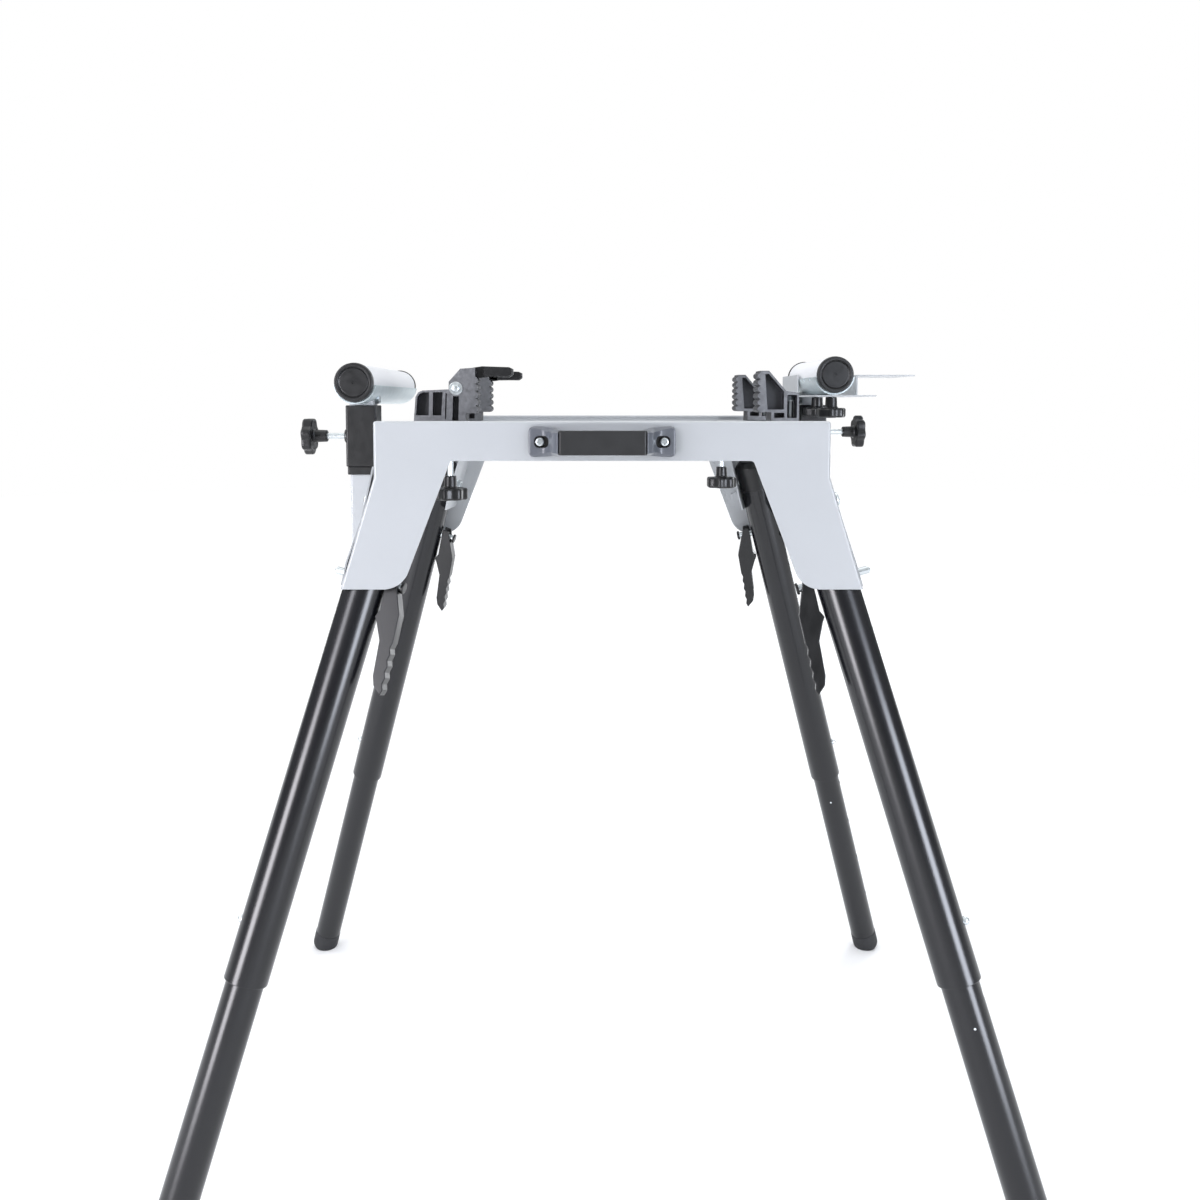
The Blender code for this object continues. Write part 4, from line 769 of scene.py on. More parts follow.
def panel_sheet(face, fold):
    """A pressed panel: its face, the rim folded back along the top and the outer edges, and its thickness."""
    shape = bmesh.new()
    drops = (0, EDGE_KINK_DROP, BRACKET_DROP)
    half = {d: max(PANEL_HALF, EDGE_START + EDGE_SLOPE * d) for d in drops}
    rim = {s: [shape.verts.new((s * half[d], 0, -d)) for d in drops] for s in (1, -1)}
    back = {s: [shape.verts.new((s * half[d], -face * RIM, -d)) for d in drops] for s in (1, -1)}
    lower = panel_outline()
    right = [shape.verts.new((x, 0, z)) for x, z in lower]
    left = [shape.verts.new((-x, 0, z)) for x, z in reversed(lower)]
    plate = shape.faces.new(rim[1] + right + left + list(reversed(rim[-1])))
    folds = [(rim[1][0], rim[-1][0])] + [(rim[s][0], back[s][0]) for s in (1, -1)]
    shape.faces.new((rim[1][0], rim[-1][0], back[-1][0], back[1][0]))
    for s in (1, -1):
        for i in range(len(drops) - 1):
            a, b = rim[s][i], rim[s][i + 1]
            shape.faces.new((a, b, back[s][i + 1], back[s][i]))
            folds.append((a, b))
    edges = [shape.edges.get(pair) for pair in folds]
    outward(shape)
    shape.normal_update()
    if plate.normal.y * face < 0:
        bmesh.ops.reverse_faces(shape, faces=shape.faces)
    bevel(shape, edges, fold, 6)
    holder = holder_of(shape)
    sheet = holder.modifiers.new("Sheet", "SOLIDIFY")
    sheet.thickness = SHEET
    sheet.offset = -1
    sheet.use_even_offset = True
    edge = holder.modifiers.new("Edge", "BEVEL")
    edge.width = SHEET_EDGE
    edge.segments = 2
    edge.limit_method = "ANGLE"
    edge.angle_limit = math.radians(60)
    return frozen(holder)


def hex_nut(radius, height, bore):
    """A chamfered nut that stands on z = 0."""
    round_r, flat_r = 1.02 * radius, 0.84 * radius
    cone = [(0, -height), (round_r, -height), (round_r, 0.72 * height), (flat_r, height), (0, height)]
    holder, helper = holder_of(prism(circle(radius, 6), "Z", 0, height)), holder_of(lathe(cone, 48))
    boolean(holder, helper, "INTERSECT")
    return carved(frozen(holder, [helper]), [prism(circle(bore, 24), "Z", 0.4 * height, 2 * height)])


def dress(node, kind, edge, choice):
    """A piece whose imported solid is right: its edges are rounded, and it gets its finish."""
    build(f"{node}_{kind}", [(soften(copy_of(node), *edge), None, choice)], node)


class STAND_OT_panels(bpy.types.Operator):
    """Build the two pressed end panels"""
    bl_idname = "stand.panels"
    bl_label = "Panels"

    def execute(self, context):
        for where, face in FACES:
            sheet = panel_sheet(face, context.scene.stand_sizes.fold_radius)
            build(f"{where}_panel_sheet", [(sheet, at(0, face * PANEL_FACE, TOP), PAINT)], f"{where}_panel")
        return {"FINISHED"}


class STAND_OT_rail_frame(bpy.types.Operator):
    """Build the rails, the cross members and their weld beads"""
    bl_idname = "stand.rail_frame"
    bl_label = "Rail frame"

    def execute(self, context):
        parts = []
        half = RAIL_SIDE / 2
        for y in (-RAIL_Y, RAIL_Y):
            rail = square_tube(RAIL_SIDE, RAIL_BORE, 0.6 * MM, "X", -RAIL_HALF, RAIL_HALF, (y, RAIL_Z))
            parts.append((rail, None, PAINT))
        end = PANEL_FACE - SHEET - GAP
        low, high = RAIL_Z - half + CROSS_INSET, RAIL_Z + half - CROSS_INSET
        bays = ((-end, -RAIL_Y - half), (-RAIL_Y + half, RAIL_Y - half), (RAIL_Y + half, end))
        for side in (-1, 1):
            x0, x1 = sorted((side * CROSS_IN, side * CROSS_OUT))
            wall = CROSS_WALL
            channel = [
                (x0, low), (x0 + wall, low), (x0 + wall, high - wall), (x1 - wall, high - wall),
                (x1 - wall, low), (x1, low), (x1, high), (x0, high),
            ]
            for bay in bays:
                parts.append((soften(prism(channel, "Y", *bay), 0.7 * MM, 3), None, PAINT))
            pitch = context.scene.stand_sizes.weld_pitch
            beads = int((x1 - x0) / pitch)
            for y in (-RAIL_Y - half, -RAIL_Y + half, RAIL_Y - half, RAIL_Y + half):
                bead = grown(ribs_rule(), {
                    "Count": beads, "Start": (x0 + pitch / 2, y, high), "Step": (pitch, 0, 0),
                    "Bar": (2 * pitch, *WELD), "Material": finish(PAINT),
                })
                parts.append((bead, None, PAINT))
        for label, x in ARM_KNOB_X.items():
            nut = hex_nut(6 * MM, 4.6 * MM, 3.4 * MM)
            place = at(x, SUPPORTS[label]["y"], RAIL_Z - half) @ upside_down()
            parts.append((nut, place, ZINC))
        build("rail_frame_welded", parts, "rail_frame")
        return {"FINISHED"}


class STAND_OT_brackets(bpy.types.Operator):
    """Build the four bent hinge brackets"""
    bl_idname = "stand.brackets"
    bl_label = "Hinge brackets"

    def execute(self, context):
        for prefix in LEGS:
            dress(f"{prefix}_hinge_bracket", "sheet", (SHEET_EDGE, 2, 50), PAINT)
        return {"FINISHED"}


class STAND_OT_legs(bpy.types.Operator):
    """Build the telescopic legs with their caps and feet"""
    bl_idname = "stand.legs"
    bl_label = "Legs"

    def execute(self, context):
        facets = context.scene.stand_sizes.facets
        for prefix in LEGS:
            place = leg_frame(prefix)
            lip = arc(LIP, (TUBE_R - LIP, -UPPER_END + LIP), 0, -90, 5)
            tube = lathe([
                (TUBE_R, -CROWN_END), *lip, (TUBE_BORE, -UPPER_END), (TUBE_BORE, -CROWN_END),
            ], facets)
            reach = TUBE_R + 5 * MM
            hole = prism(circle(HOLE_R, 28, (0, -BUTTON_AT)), "X", TUBE_BORE / 2, reach)
            tube = carved(tube, [hole])
            crown = turned([
                (0, 26), (10, 26), *arc(4, (11.2, 21.9), 88, 52, 4), *arc(3.2, (16.1, 18.6), 55, 0, 5),
                (19.3, -9.4), *arc(0.6, (18.7, -9.4), 0, -90, 3), (17.3, -10), (17.3, -14), (0, -14),
            ], facets)
            build(f"{prefix}_upper_tube", [(tube, place, ENAMEL), (crown, place, NYLON)],
                  f"{prefix}_leg_upper")

            lower = lathe([
                (LOWER_R, -LOWER_START), (LOWER_R, -LOWER_END), (LOWER_BORE, -LOWER_END),
                (LOWER_BORE, -LOWER_START),
            ], facets)
            holes = []
            for i in range(HOLE_COUNT):
                drop = BUTTON_AT + i * HOLE_PITCH
                holes.append(prism(circle(HOLE_R, 28, (0, -drop)), "X", LOWER_BORE / 2, reach))
            stud = turned([(0, 0.7), *arc(1.3, (0, -0.6), 80, 10, 5), (1.3, -2), (0, -2)], 20)
            spot = place @ at(0, -LOWER_R, -STUD_AT) @ turn_to("Y", -1)
            build(f"{prefix}_lower_tube", [
                (carved(lower, holes), place, ENAMEL), (stud, spot, ZINC),
            ], f"{prefix}_leg_lower")

            foot = self.foot(facets)
            foot.transform(place)
            whole = foot.verts[:] + foot.edges[:] + foot.faces[:]
            cut = bmesh.ops.bisect_plane(
                foot, geom=whole, plane_co=(0, 0, 0), plane_no=(0, 0, -1), clear_outer=True
            )
            rims = [part for part in cut["geom_cut"] if isinstance(part, bmesh.types.BMEdge)]
            bmesh.ops.holes_fill(foot, edges=rims)
            build(f"{prefix}_foot_rubber", [(foot, None, RUBBER)], f"{prefix}_foot")
        return {"FINISHED"}

    def foot(self, facets):
        """Rubber ferrule with a round end and a plug inside the tube."""
        top, end = LOWER_END + GAP, FOOT_END
        plug = LOWER_BORE - GAP
        profile = [(0, -top + 24 * MM), (plug, -top + 24 * MM), (plug, -top), (FOOT_R - 0.6 * MM, -top)]
        profile += arc(0.5 * MM, (FOOT_R - 0.5 * MM, -top - 0.6 * MM), 80, 0, 4)
        profile += arc(12 * MM, (FOOT_R - 12 * MM, -end + 12.6 * MM), 0, -72, 12)
        profile.append((0, -end))
        return lathe(profile, facets)


class STAND_OT_hardware(bpy.types.Operator):
    """Build the pivot bolts, lock pins and spring buttons"""
    bl_idname = "stand.hardware"
    bl_label = "Leg hardware"

    def execute(self, context):
        seat = PIVOT_SEAT
        for prefix in LEGS:
            pivot = leg_frame(prefix) @ turn_to("X")
            bolt = turned([
                (0, -seat), (4, -seat), (4, seat), (6.2, seat), *arc(2.2, (4.2, seat + 0.3), 0, 80, 6),
                (0, seat + 2.6),
            ])
            washer = turned([(4.1, -seat - 0.8), (7.2, -seat - 0.8), (7.2, -seat), (4.1, -seat)])
            nut_place = pivot @ at(0, 0, -seat * MM) @ upside_down()
            build(f"{prefix}_bolt_and_nut", [
                (bolt, pivot, ZINC), (hex_nut(6.2 * MM, 6 * MM, 4 * MM), nut_place, ZINC),
                (washer, pivot, ZINC),
            ], f"{prefix}_pivot_bolt")

            knob = turned([
                (0, -37), (4.4, -37), *arc(0.8, (4.6, -36.2), -80, 0, 4), (5.4, -34.9), (4.9, -34.4),
                (0, -34.4),
            ], 36)
            pin = turned([
                (0, -35), (3.5, -35), (3.5, 30), *arc(3.5, (0, 28.6), 25, 85, 6), (0, 32.1),
            ], 36)
            place = down_leg(prefix, PIN_AT) @ turn_to("X")
            build(f"{prefix}_dome_pin", [(pin, place, ZINC), (knob, place, NYLON)],
                  f"{prefix}_lock_pin")

            button = turned([
                (0, 17.5), (3.8, 17.5), (3.8, 20.6), *arc(3.8, (0, 20), 10, 85, 8), (0, 23.8),
            ], 36)
            build(f"{prefix}_dome_button", [(button, down_leg(prefix, BUTTON_AT) @ turn_to("X"), ZINC)],
                  f"{prefix}_spring_button")
        return {"FINISHED"}


class STAND_OT_levers(bpy.types.Operator):
    """Build the four release levers with wavy finger edges"""
    bl_idname = "stand.levers"
    bl_label = "Release levers"

    def execute(self, context):
        for prefix in LEGS:
            dress(f"{prefix}_lever", "moulding", (0.8 * MM, 3, 30), GLASS_NYLON)
        return {"FINISHED"}


class STAND_OT_arms(bpy.types.Operator):
    """Build the square arms and the sleeve blocks at their ends"""
    bl_idname = "stand.arms"
    bl_label = "Arms and sleeves"

    def execute(self, context):
        for prefix, rule in SUPPORTS.items():
            side, x, y = rule["side"], rule["x"], rule["y"]
            low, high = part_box(f"{prefix}_arm")
            tube = square_tube(ARM_SIDE, ARM_BORE, BORE_CORNER, "X", low.x, high.x, (y, RAIL_Z))
            end = low.x if side > 0 else high.x
            span = sorted((end + side * 0.4 * MM, end + side * 8 * MM))
            plug = prism(rounded_box(ARM_BORE, ARM_BORE, BORE_CORNER, (y, RAIL_Z)), "X", *span)
            plug = soften(plug, 0.5 * MM)
            build(f"{prefix}_arm_tube", [(tube, None, SATIN), (plug, None, NYLON)], f"{prefix}_arm")

            bore = rounded_box(POST_BORE, POST_BORE, BORE_CORNER, (x, y))
            outer = rounded_box(BLOCK_SIDE, BLOCK_SIDE, 2 * MM, (x, y))
            block = soften(ring(outer, bore, "Z", TOP - BLOCK_DROP, TOP + BLOCK_HIGH), 1 * MM, 3, 60)
            outer = rounded_box(SKIRT_SIDE, SKIRT_SIDE, 1.6 * MM, (x, y))
            skirt = ring(outer, bore, "Z", TOP - SKIRT_DROP, TOP - BLOCK_DROP - 0.1 * MM)
            skirt = soften(skirt, 0.8 * MM, 3, 60)
            boss = turned([(3.5, -1), (7.6, -1), (7, 2.6), (6.2, 3.4), (3.5, 3.4)], 48)
            spot = at(x + side * BLOCK_SIDE / 2, y, TOP - POST_SCREW_DROP) @ turn_to("X", side)
            build(f"{prefix}_sleeve_moulding", [
                (block, None, NYLON), (skirt, None, NYLON), (boss, spot, NYLON),
            ], f"{prefix}_sleeve")
        return {"FINISHED"}


class STAND_OT_posts(bpy.types.Operator):
    """Build the posts with the troughs that carry the rollers"""
    bl_idname = "stand.posts"
    bl_label = "Posts"

    def execute(self, context):
        for prefix, rule in SUPPORTS.items():
            x, y, side = rule["x"], rule["y"], rule["side"]
            centre = (x, TOP + rule["high"])
            top = centre[1] - TROUGH_R - 0.6 * TROUGH_WALL + 8 * MM
            tube = square_tube(POST_SIDE, POST_INSIDE, BORE_CORNER, "Z", TOP - POST_DROP, top, (x, y))
            start, end = -90 - TROUGH_SPAN / 2, -90 + TROUGH_SPAN / 2
            room = circle(TROUGH_R + 0.2 * MM, 72, centre)
            tube = carved(tube, [prism(room, "Y", y - POST_SIDE, y + POST_SIDE)])
            section = arc(TROUGH_R + TROUGH_WALL, centre, start, end, 48)
            section += arc(TROUGH_R, centre, end, start, 48)
            span = (rule["roller"][0] + TROUGH_END, rule["roller"][1] - TROUGH_END)
            trough = prism(section, "Y", *span)
            slots = []
            for reach in rule["slots"]:
                spot = (rule["roller"][0] + reach, TOP + rule["high"] - SLOT_DROP)
                slots.append(prism(rounded_box(*SLOT, spot), "X", x - 25 * MM, x))
            trough = soften(carved(trough, slots), 0.3 * MM, 2, 60)
            nut = hex_nut(5.4 * MM, 4.4 * MM, 2.6 * MM)
            seat = at(x - side * POST_SIDE / 2, y, TOP + BLOCK_HIGH + 6.2 * MM) @ turn_to("X", -side)
            build(f"{prefix}_post_and_trough", [
                (tube, None, SATIN), (trough, None, BLUE_ZINC), (nut, seat, ZINC),
            ], f"{prefix}_post")
        return {"FINISHED"}


class STAND_OT_rollers(bpy.types.Operator):
    """Build the rollers with their dished end caps"""
    bl_idname = "stand.rollers"
    bl_label = "Rollers"

    def execute(self, context):
        facets = context.scene.stand_sizes.facets
        for prefix, rule in SUPPORTS.items():
            low, high = rule["roller"]
            span = high - low
            bore, face = ROLLER_R - 1.2 * MM, ROLLER_R - ROLLER_EDGE
            sleeve = lathe([
                (bore, ROLLER_CAP), (face, ROLLER_CAP), (ROLLER_R, ROLLER_CAP + ROLLER_EDGE),
                (ROLLER_R, span - ROLLER_CAP - ROLLER_EDGE), (face, span - ROLLER_CAP),
                (bore, span - ROLLER_CAP),
            ], facets)
            place = at(rule["x"], low, TOP + rule["high"]) @ turn_to("Y")
            parts = [(sleeve, place, WHITE)]
            for spot in (place, place @ at(0, 0, span) @ upside_down()):
                cap = turned([
                    (0, 1.5), (1.2, 1.5), (1.5, 1.1), (12.9, 1.1), *arc(1, (13, 2.1), -85, -20, 5),
                    (14.6, 1.4), *arc(1.1, (15.8, 1.1), -165, -90, 6), *arc(1.3, (17.3, 1.3), -85, 0, 7),
                    (18.9, 5), (15.9, 5), (0, 5),
                ], facets)
                parts.append((cap, spot, NYLON))
            build(f"{prefix}_roller_sleeve", parts, f"{prefix}_roller")
        return {"FINISHED"}


class STAND_OT_knobs(bpy.types.Operator):
    """Build the lobed hand knobs with their screws"""
    bl_idname = "stand.knobs"
    bl_label = "Hand knobs"

    def execute(self, context):
        for prefix, rule in SUPPORTS.items():
            side = rule["side"]
            spot = at(rule["x"] + side * POST_KNOB_AT, rule["y"], TOP - POST_SCREW_DROP)
            self.knob(f"{prefix}_post_knob", spot @ turn_to("X", -side), *POST_KNOB)
            spot = at(ARM_KNOB_X[prefix], rule["y"], TOP - ARM_KNOB_DROP)
            self.knob(f"{prefix}_arm_knob", spot, *ARM_KNOB)
        for label in STOP_KNOB_Y:
            node = f"stop_knob_{label}"
            low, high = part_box(node)
            spot = at(SUPPORTS["right"]["x"], STOP_KNOB_Y[label], low.z)
            self.knob(node, spot, *STOP_KNOB, (high.z - low.z) / MM)
        return {"FINISHED"}

    def knob(self, node, place, radius, disc, neck, reach):
        """A knob in millimetres; its outer face is on z = 0 and its screw ends at reach."""
        sizes = bpy.context.scene.stand_sizes
        body = grown(knob_rule(), {
            "Radius": radius * MM, "Depth": disc * MM, "Lobes": sizes.knob_lobes, "Dip": KNOB_DIP,
            "Edge": sizes.knob_edge, "Facets": 16 * sizes.knob_lobes, "Material": finish(NYLON),
        })
        merge(body, FINE)
        end = disc + neck
        hub = turned([
            (0, disc - 1), (7.6, disc - 1), (7.2, disc + 0.5), (6.3, disc + 1.6), (5.9, end - 0.7),
            (5.3, end), (0, end),
        ], 48)
        insert = turned([(0, -0.5), (4.4, -0.5), *arc(0.6, (4.6, 0.1), -80, 0, 4), (5.2, 1), (0, 1)], 48)
        build(f"{node}_moulding", [
            (body, place, NYLON), (hub, place, NYLON), (insert, place, NYLON),
            (self.thread(end - 1, reach), place, ZINC),
        ], node)

    def thread(self, start, end):
        """A screw with its turns as fine ridges."""
        radius = SCREW_R / MM
        profile = [(0, start)]
        for i in range(int((end - start) / THREAD_PITCH)):
            z = start + i * THREAD_PITCH
            profile += [(radius - THREAD_DEPTH, z), (radius, z + THREAD_PITCH / 2)]
        profile += [(radius - 5 * THREAD_DEPTH, end), (0, end)]
        return turned(profile, 24)


class STAND_OT_stop(bpy.types.Operator):
    """Build the bent workpiece stop"""
    bl_idname = "stand.stop"
    bl_label = "Workpiece stop"

    def execute(self, context):
        dress("stop_plate", "sheet", (0.45 * MM, 3, 50), SATIN)
        return {"FINISHED"}


class STAND_OT_clamps(bpy.types.Operator):
    """Build the saw clamps, their bolts and the hold-down fingers"""
    bl_idname = "stand.clamps"
    bl_label = "Saw clamps"

    def execute(self, context):
        turn = Matrix.Rotation(math.pi, 4, "Z")
        for where, face in FACES:
            place = at(RIGHT_FACE_X, face * RAIL_Y, CLAMP_BASE)
            bay = prism(self.blunt(RIGHT_BAY, CLAMP_CORNER), "Y", -CLAMP_WIDTH, CLAMP_WIDTH)
            body = self.casting(RIGHT_CASTING, RIGHT_TEETH, RIGHT_POCKETS, [bay])
            shank = turned([(0, 2), (3, 2), (3, 28.6), (0, 28.6)], 36)
            washer = turned([(3, -1.2), (5.6, -1.2), (5.6, 0), (3, 0)])
            bolt = place @ at(CLAMP_BOLT_AT, 0, 0)
            seat = place @ at(CLAMP_BOLT_AT, 0, CLAMP_NUT_AT)
            build(f"{where}_right_clamp_casting", [
                (body, place, CAST), (washer, seat, ZINC),
                (hex_nut(4.9 * MM, 4.4 * MM, 3 * MM), seat, ZINC), (shank, bolt, ZINC),
            ], f"{where}_right_clamp")

            place = at(LEFT_FACE_X, face * RAIL_Y, CLAMP_BASE) @ turn
            wide, low = FINGER_SLOT
            slot = rounded_box(20 * MM, wide, 0.4 * MM, (FINGER_PIN[0] - 2 * MM, 0), 1)
            pin = prism(circle(FINGER_PIN_R, 24, FINGER_PIN), "Y", -FINGER_PIN_HALF, FINGER_PIN_HALF)
            cuts = [prism(slot, "Z", low, 2 * low), pin]
            parts = [(self.casting(LEFT_CASTING, LEFT_TEETH, LEFT_POCKETS, cuts), place, CAST)]
            for side in (-1, 1):
                spot = place @ at(CROSS_BOLT_AT, side * CLAMP_WIDTH / 2, CROSS_BOLT_HIGH)
                spot = spot @ turn_to("Y", side)
                washer = turned([(0, 0), (6.6, 0), (6.6, 0.9), (6.2, 1.3), (0, 1.3)])
                dome = turned([(0, 1), (4.2, 1), (4.2, 2), *arc(2.6, (1.6, 1.4), 15, 80, 6), (0, 4.1)])
                parts += [(washer, spot, ZINC), (dome, spot, ZINC)]
            build(f"{where}_left_clamp_casting", parts, f"{where}_left_clamp")

            dress(f"{where}_hold_down_finger", "moulding", (0.6 * MM, 2, 35), NYLON)
        return {"FINISHED"}

    def blunt(self, outline, radius):
        """An outline in millimetres with every corner rounded, in metres."""
        points = []
        for i, corner in enumerate(outline):
            near = [Vector(outline[j % len(outline)]) * MM for j in (i - 1, i + 1)]
            points += rounded(Vector(corner) * MM, *near, radius, 4)
        return points

    def teeth(self, root, low, high, number):
        """Rounded teeth of the gripping face, from the bottom up, in metres."""
        pitch = (high - low) / number
        wave = ((0, 0), (0.55, 0.14), (0.92, 0.3), (1, 0.5), (0.92, 0.7), (0.55, 0.86))
        points = []
        for i in range(number):
            points += [(root * MM - TOOTH * out, (low + (i + up) * pitch) * MM) for out, up in wave]
        return points + [(root * MM, high * MM)]

    def casting(self, outline, teeth, pockets, cuts):
        """A ribbed casting with a web in the middle; its two outer flanks take the lighter finish as a painted
        highlight.
        """
        half = CLAMP_WIDTH / 2
        points = [(x * MM, z * MM) for x, z in outline] + self.teeth(*teeth)
        shape = prism(points, "Y", -half, half)
        for pocket in pockets:
            outline = self.blunt(pocket, CLAMP_CORNER / 2)
            for side in (-1, 1):
                cuts.append(prism(outline, "Y", side * CLAMP_WEB / 2, side * 1.5 * half))
        shape = carved(shape, cuts)
        merge(shape, COARSE)
        # Flat outer flanks get the lighter finish, a painted highlight; the pockets and the rest keep the dark
        # finish, partly painted shade
        for face in shape.faces:
            flank = abs(face.normal.y) > 0.9 and abs(face.calc_center_median().y) > half - 1 * MM
            face.material_index = 1 if flank else 0
        return soften(shape, 0.4 * MM, 2, 28)


class STAND_OT_handle(bpy.types.Operator):
    """Build the carry handle with its inlay and screws"""
    bl_idname = "stand.handle"
    bl_label = "Carry handle"

    def execute(self, context):
        place = at(0, -PANEL_FACE - GAP, HANDLE_Z)
        recesses, parts = [], []
        for side in (-1, 1):
            recess, floor, wall = (self.pad(size, side) for size in (RECESS, RECESS_SHADE_FLOOR, RECESS_SHADE_WALL))
            recesses.append(prism(recess, "Y", -20 * MM, -3 * MM))
            # A black nylon cup and floor line each screw recess as painted shade, so that the recess reads as deep
            shade_cup = ring(recess, wall, "Y", -6.5 * MM, -2.9 * MM)
            floor = prism(floor, "Y", -3.3 * MM, -2.9 * MM)
            lip = rounded_box(*GRIP_LIP, (side * 38.4 * MM, -34.2 * MM))
            lip = soften(prism(lip, "Z", -GRIP_LIP_HALF, GRIP_LIP_HALF), 0.3 * MM)
            parts += [(shade_cup, place, NYLON), (floor, place, NYLON), (lip, place, SHELL)]
        parts += [(carved(self.bow(), recesses), place, SHELL), (self.grip(), place, INLAY)]
        build("carry_handle_moulding", parts, "carry_handle")
        for label, side in SIDES:
            spot = place @ at(side * HANDLE_SCREW_X, 0, 0) @ turn_to("Y")
            screw = [(self.screw(), spot, ZINC)]
            build(f"handle_screw_{label}_pan_head", screw, f"handle_screw_{label}")
        return {"FINISHED"}

    def pad(self, size, side):
        """Outline of one of the screw recesses."""
        return rounded_box(*(value * MM for value in size), (side * HANDLE_RECESS_X, 0))

    def bow(self):
        """Loft of sections from one end pad over the grip to the other."""
        left = [(-x, y, -lean, *size) for x, y, lean, *size in reversed(HANDLE_STATIONS[1:])]
        shape = bmesh.new()
        loops = []
        for x, y, lean, thick, tall, front in [*left, *HANDLE_STATIONS]:
            turn = Matrix.Rotation(math.radians(lean), 3, "Z")
            middle = Vector((x, y, 0)) * MM
            section = self.section(thick, tall, front)
            loops.append([shape.verts.new(middle + turn @ Vector((0, a, b))) for a, b in section])
        for one, two in zip(loops, loops[1:]):
            for i in range(len(one)):
                j = (i + 1) % len(one)
                shape.faces.new((one[i], one[j], two[j], two[i]))
        shape.faces.new(loops[0])
        shape.faces.new(list(reversed(loops[-1])))
        return shape

    def section(self, thick, tall, front):
        """A section with a lower front face at -y, as (y, z) in metres."""
        back, face = thick / 2 * MM, -thick / 2 * MM
        corners = [(back, tall / 2 * MM), (face * 0.1, tall / 2 * MM), (face, front / 2 * MM)]
        corners += [(y, -z) for y, z in reversed(corners)]
        points = []
        for i, corner in enumerate(corners):
            points += rounded(corner, corners[i - 1], corners[(i + 1) % len(corners)], 0.7 * MM, 3)
        return points

    def grip(self):
        """Soft inlay that wraps the front of the grip."""
        outline = rounded_box(*GRIP, (0, -32.2 * MM))
        return soften(prism(outline, "Z", -GRIP_HALF, GRIP_HALF), 0.9 * MM, 3, 60)

    def screw(self):
        """Pan head with a cross recess; its seat is the pad's recess."""
        head = turned([
            (0, 2), (2.4, 2), (2.4, -3.7), (4.4, -3.7), (4.4, -4.4), *arc(2.2, (2.2, -4.4), 0, -80, 6),
            (0, -6.6),
        ])
        bars = []
        for width, tall in ((5 * MM, 1.1 * MM), (1.1 * MM, 5 * MM)):
            bars.append(prism(rounded_box(width, tall, 0.3 * MM), "Z", -9 * MM, -5.2 * MM))
        return carved(head, bars)


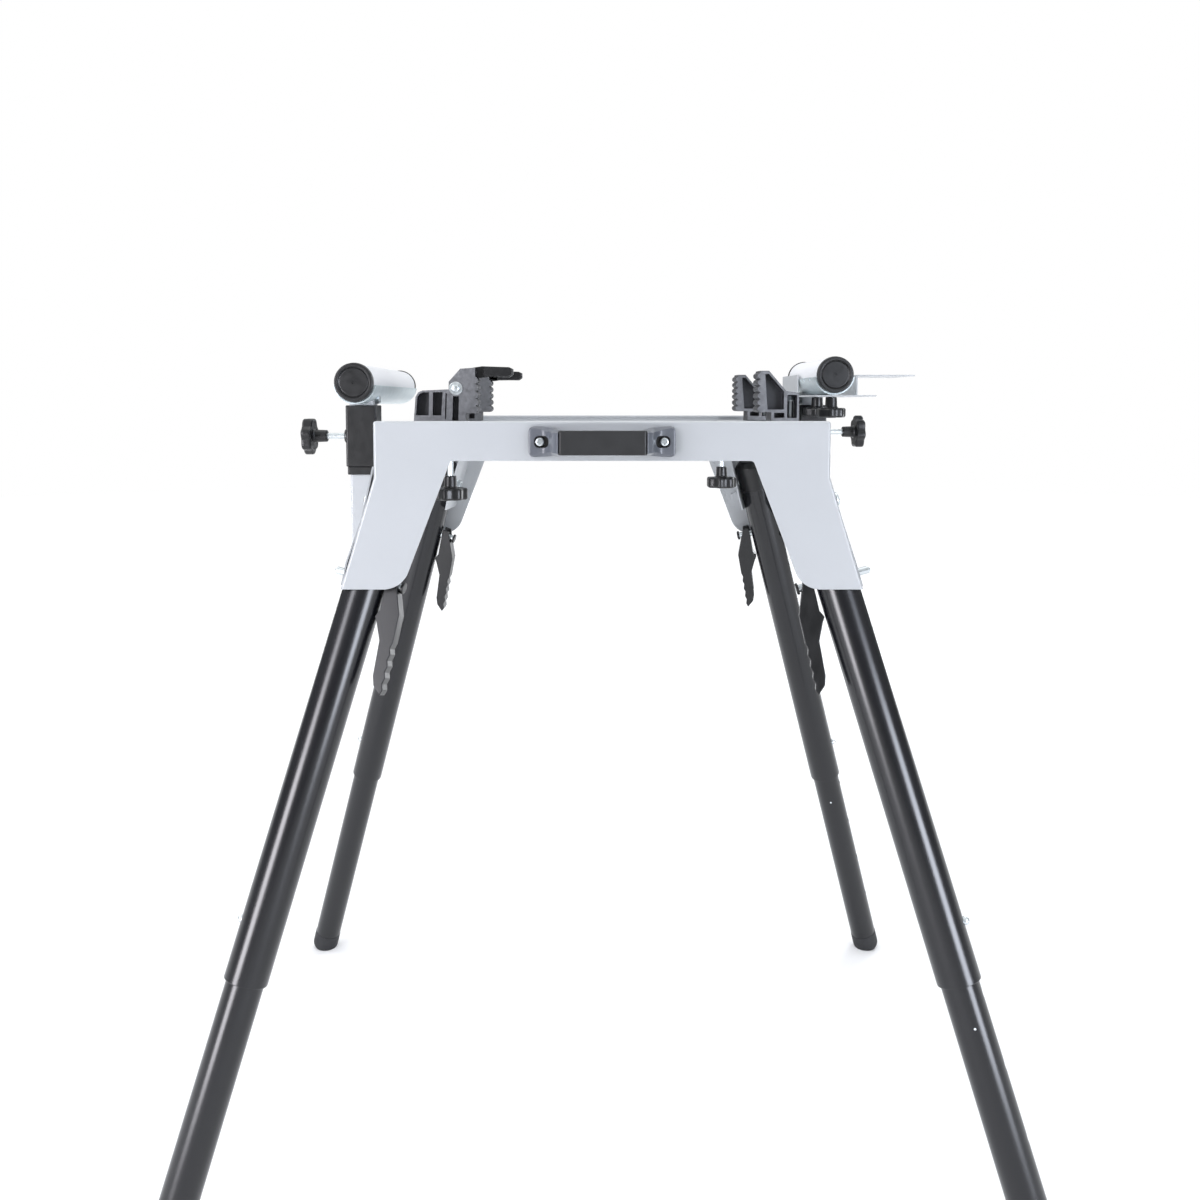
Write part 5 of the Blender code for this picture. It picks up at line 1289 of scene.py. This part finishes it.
class STAND_OT_stage(bpy.types.Operator):
    """Build the floor, the light and the camera"""
    bl_idname = "stand.stage"
    bl_label = "Stage"

    def execute(self, context):
        scene = context.scene
        floor = holder_of(prism(circle(FLOOR_R, 96), "Z", -FLOOR_THICK, 0), "floor")
        floor.data.materials.append(self.floor_finish(scene.stand_colours.floor))
        world = bpy.data.worlds.new("Studio")
        scene.world = world
        world.use_nodes = True
        tree = world.node_tree
        tree.nodes.clear()
        ray = add(tree, "ShaderNodeLightPath")
        way = add(tree, "ShaderNodeTexCoord").outputs["Generated"]
        up = add(tree, "ShaderNodeSeparateXYZ", {0: way}).outputs["Z"]
        dome = add(tree, "ShaderNodeMapRange", {
            "Value": up, "From Min": 0.0, "From Max": 0.7, "To Min": 0.2, "To Max": 0.95,
        }, interpolation_type="SMOOTHSTEP")
        room = add(tree, "ShaderNodeBackground", {
            "Color": (0.96, 0.98, 1.0, 1.0), "Strength": dome.outputs["Result"],
        })
        white = add(tree, "ShaderNodeBackground", {"Color": (1.0, 1.0, 1.0, 1.0), "Strength": 1.0})
        mix = add(tree, "ShaderNodeMixShader", {
            0: ray.outputs["Is Camera Ray"], 1: room.outputs["Background"], 2: white.outputs["Background"],
        })
        add(tree, "ShaderNodeOutputWorld", {"Surface": mix.outputs["Shader"]})
        scene.view_settings.view_transform = "Standard"

        for name, lamp in LAMPS.items():
            self.lamp(name, *lamp)
        data = bpy.data.cameras.new("Camera")
        data.lens, data.sensor_width = CAMERA_LENS, CAMERA_SENSOR
        data.shift_x, data.shift_y = CAMERA_SHIFT
        camera = placed("Camera", data)
        camera.location = CAMERA_PLACE
        camera.rotation_euler = (math.radians(90 - CAMERA_PITCH), 0, 0)
        scene.camera = camera
        return {"FINISHED"}

    def lamp(self, name, place, target, size, power, tint):
        data = bpy.data.lights.new(name, "AREA")
        data.color = linear(tint)[:3]
        data.shape = "RECTANGLE"
        data.size, data.size_y = size
        data.energy = power
        lamp = placed(name, data)
        lamp.location = place
        lamp.rotation_euler = (Vector(target) - Vector(place)).to_track_quat("-Z", "Y").to_euler()
        lamp.visible_diffuse = not name.endswith("glint")

    def floor_finish(self, base):
        """Matt paper with a painted glow that grows further out, so that its far edge fades into white."""
        made, tree, inputs = new_material("Studio floor", {
            "Base Color": base, "Roughness": 0.95, "Specular IOR Level": 0.1, "Emission Color": (1, 1, 1, 1),
        })
        spot = add(tree, "ShaderNodeTexCoord").outputs["Object"]
        reach = add(tree, "ShaderNodeVectorMath", {0: spot}, operation="LENGTH").outputs["Value"]
        # Painted glow: the emission grows with the distance from the middle
        glow = add(tree, "ShaderNodeMapRange", {
            "Value": reach, "From Min": 1.2, "From Max": 3.5, "To Min": 0.06, "To Max": 0.35,
        }, interpolation_type="SMOOTHSTEP")
        tree.links.new(glow.outputs["Result"], inputs["Emission Strength"])
        return made


class STAND_PT_sidebar(bpy.types.Panel):
    """Every piece of the stand"""
    bl_idname = "STAND_PT_sidebar"
    bl_label = "Miter saw stand"
    bl_space_type = "VIEW_3D"
    bl_region_type = "UI"
    bl_category = "Stand"

    def draw(self, context):
        for operator in OPERATORS:
            self.layout.operator(operator.bl_idname)
        for group in (context.scene.stand_sizes, context.scene.stand_colours):
            for key in group.__annotations__:
                self.layout.prop(group, key)


OPERATORS = (
    STAND_OT_stage, STAND_OT_panels, STAND_OT_rail_frame, STAND_OT_brackets, STAND_OT_legs,
    STAND_OT_hardware, STAND_OT_levers, STAND_OT_arms, STAND_OT_posts, STAND_OT_rollers,
    STAND_OT_knobs, STAND_OT_stop, STAND_OT_clamps, STAND_OT_handle,
)
CLASSES = (StandColours, StandSizes, *OPERATORS, STAND_PT_sidebar)


def register():
    for made in CLASSES:
        bpy.utils.register_class(made)
    bpy.types.Scene.stand_colours = bpy.props.PointerProperty(type=StandColours)
    bpy.types.Scene.stand_sizes = bpy.props.PointerProperty(type=StandSizes)


def unregister():
    del bpy.types.Scene.stand_sizes
    del bpy.types.Scene.stand_colours
    for made in reversed(CLASSES):
        bpy.utils.unregister_class(made)


def main():
    register()
    for operator in OPERATORS:
        group, name = operator.bl_idname.split(".")
        getattr(getattr(bpy.ops, group), name)()


if __name__ == "__main__":
    main()
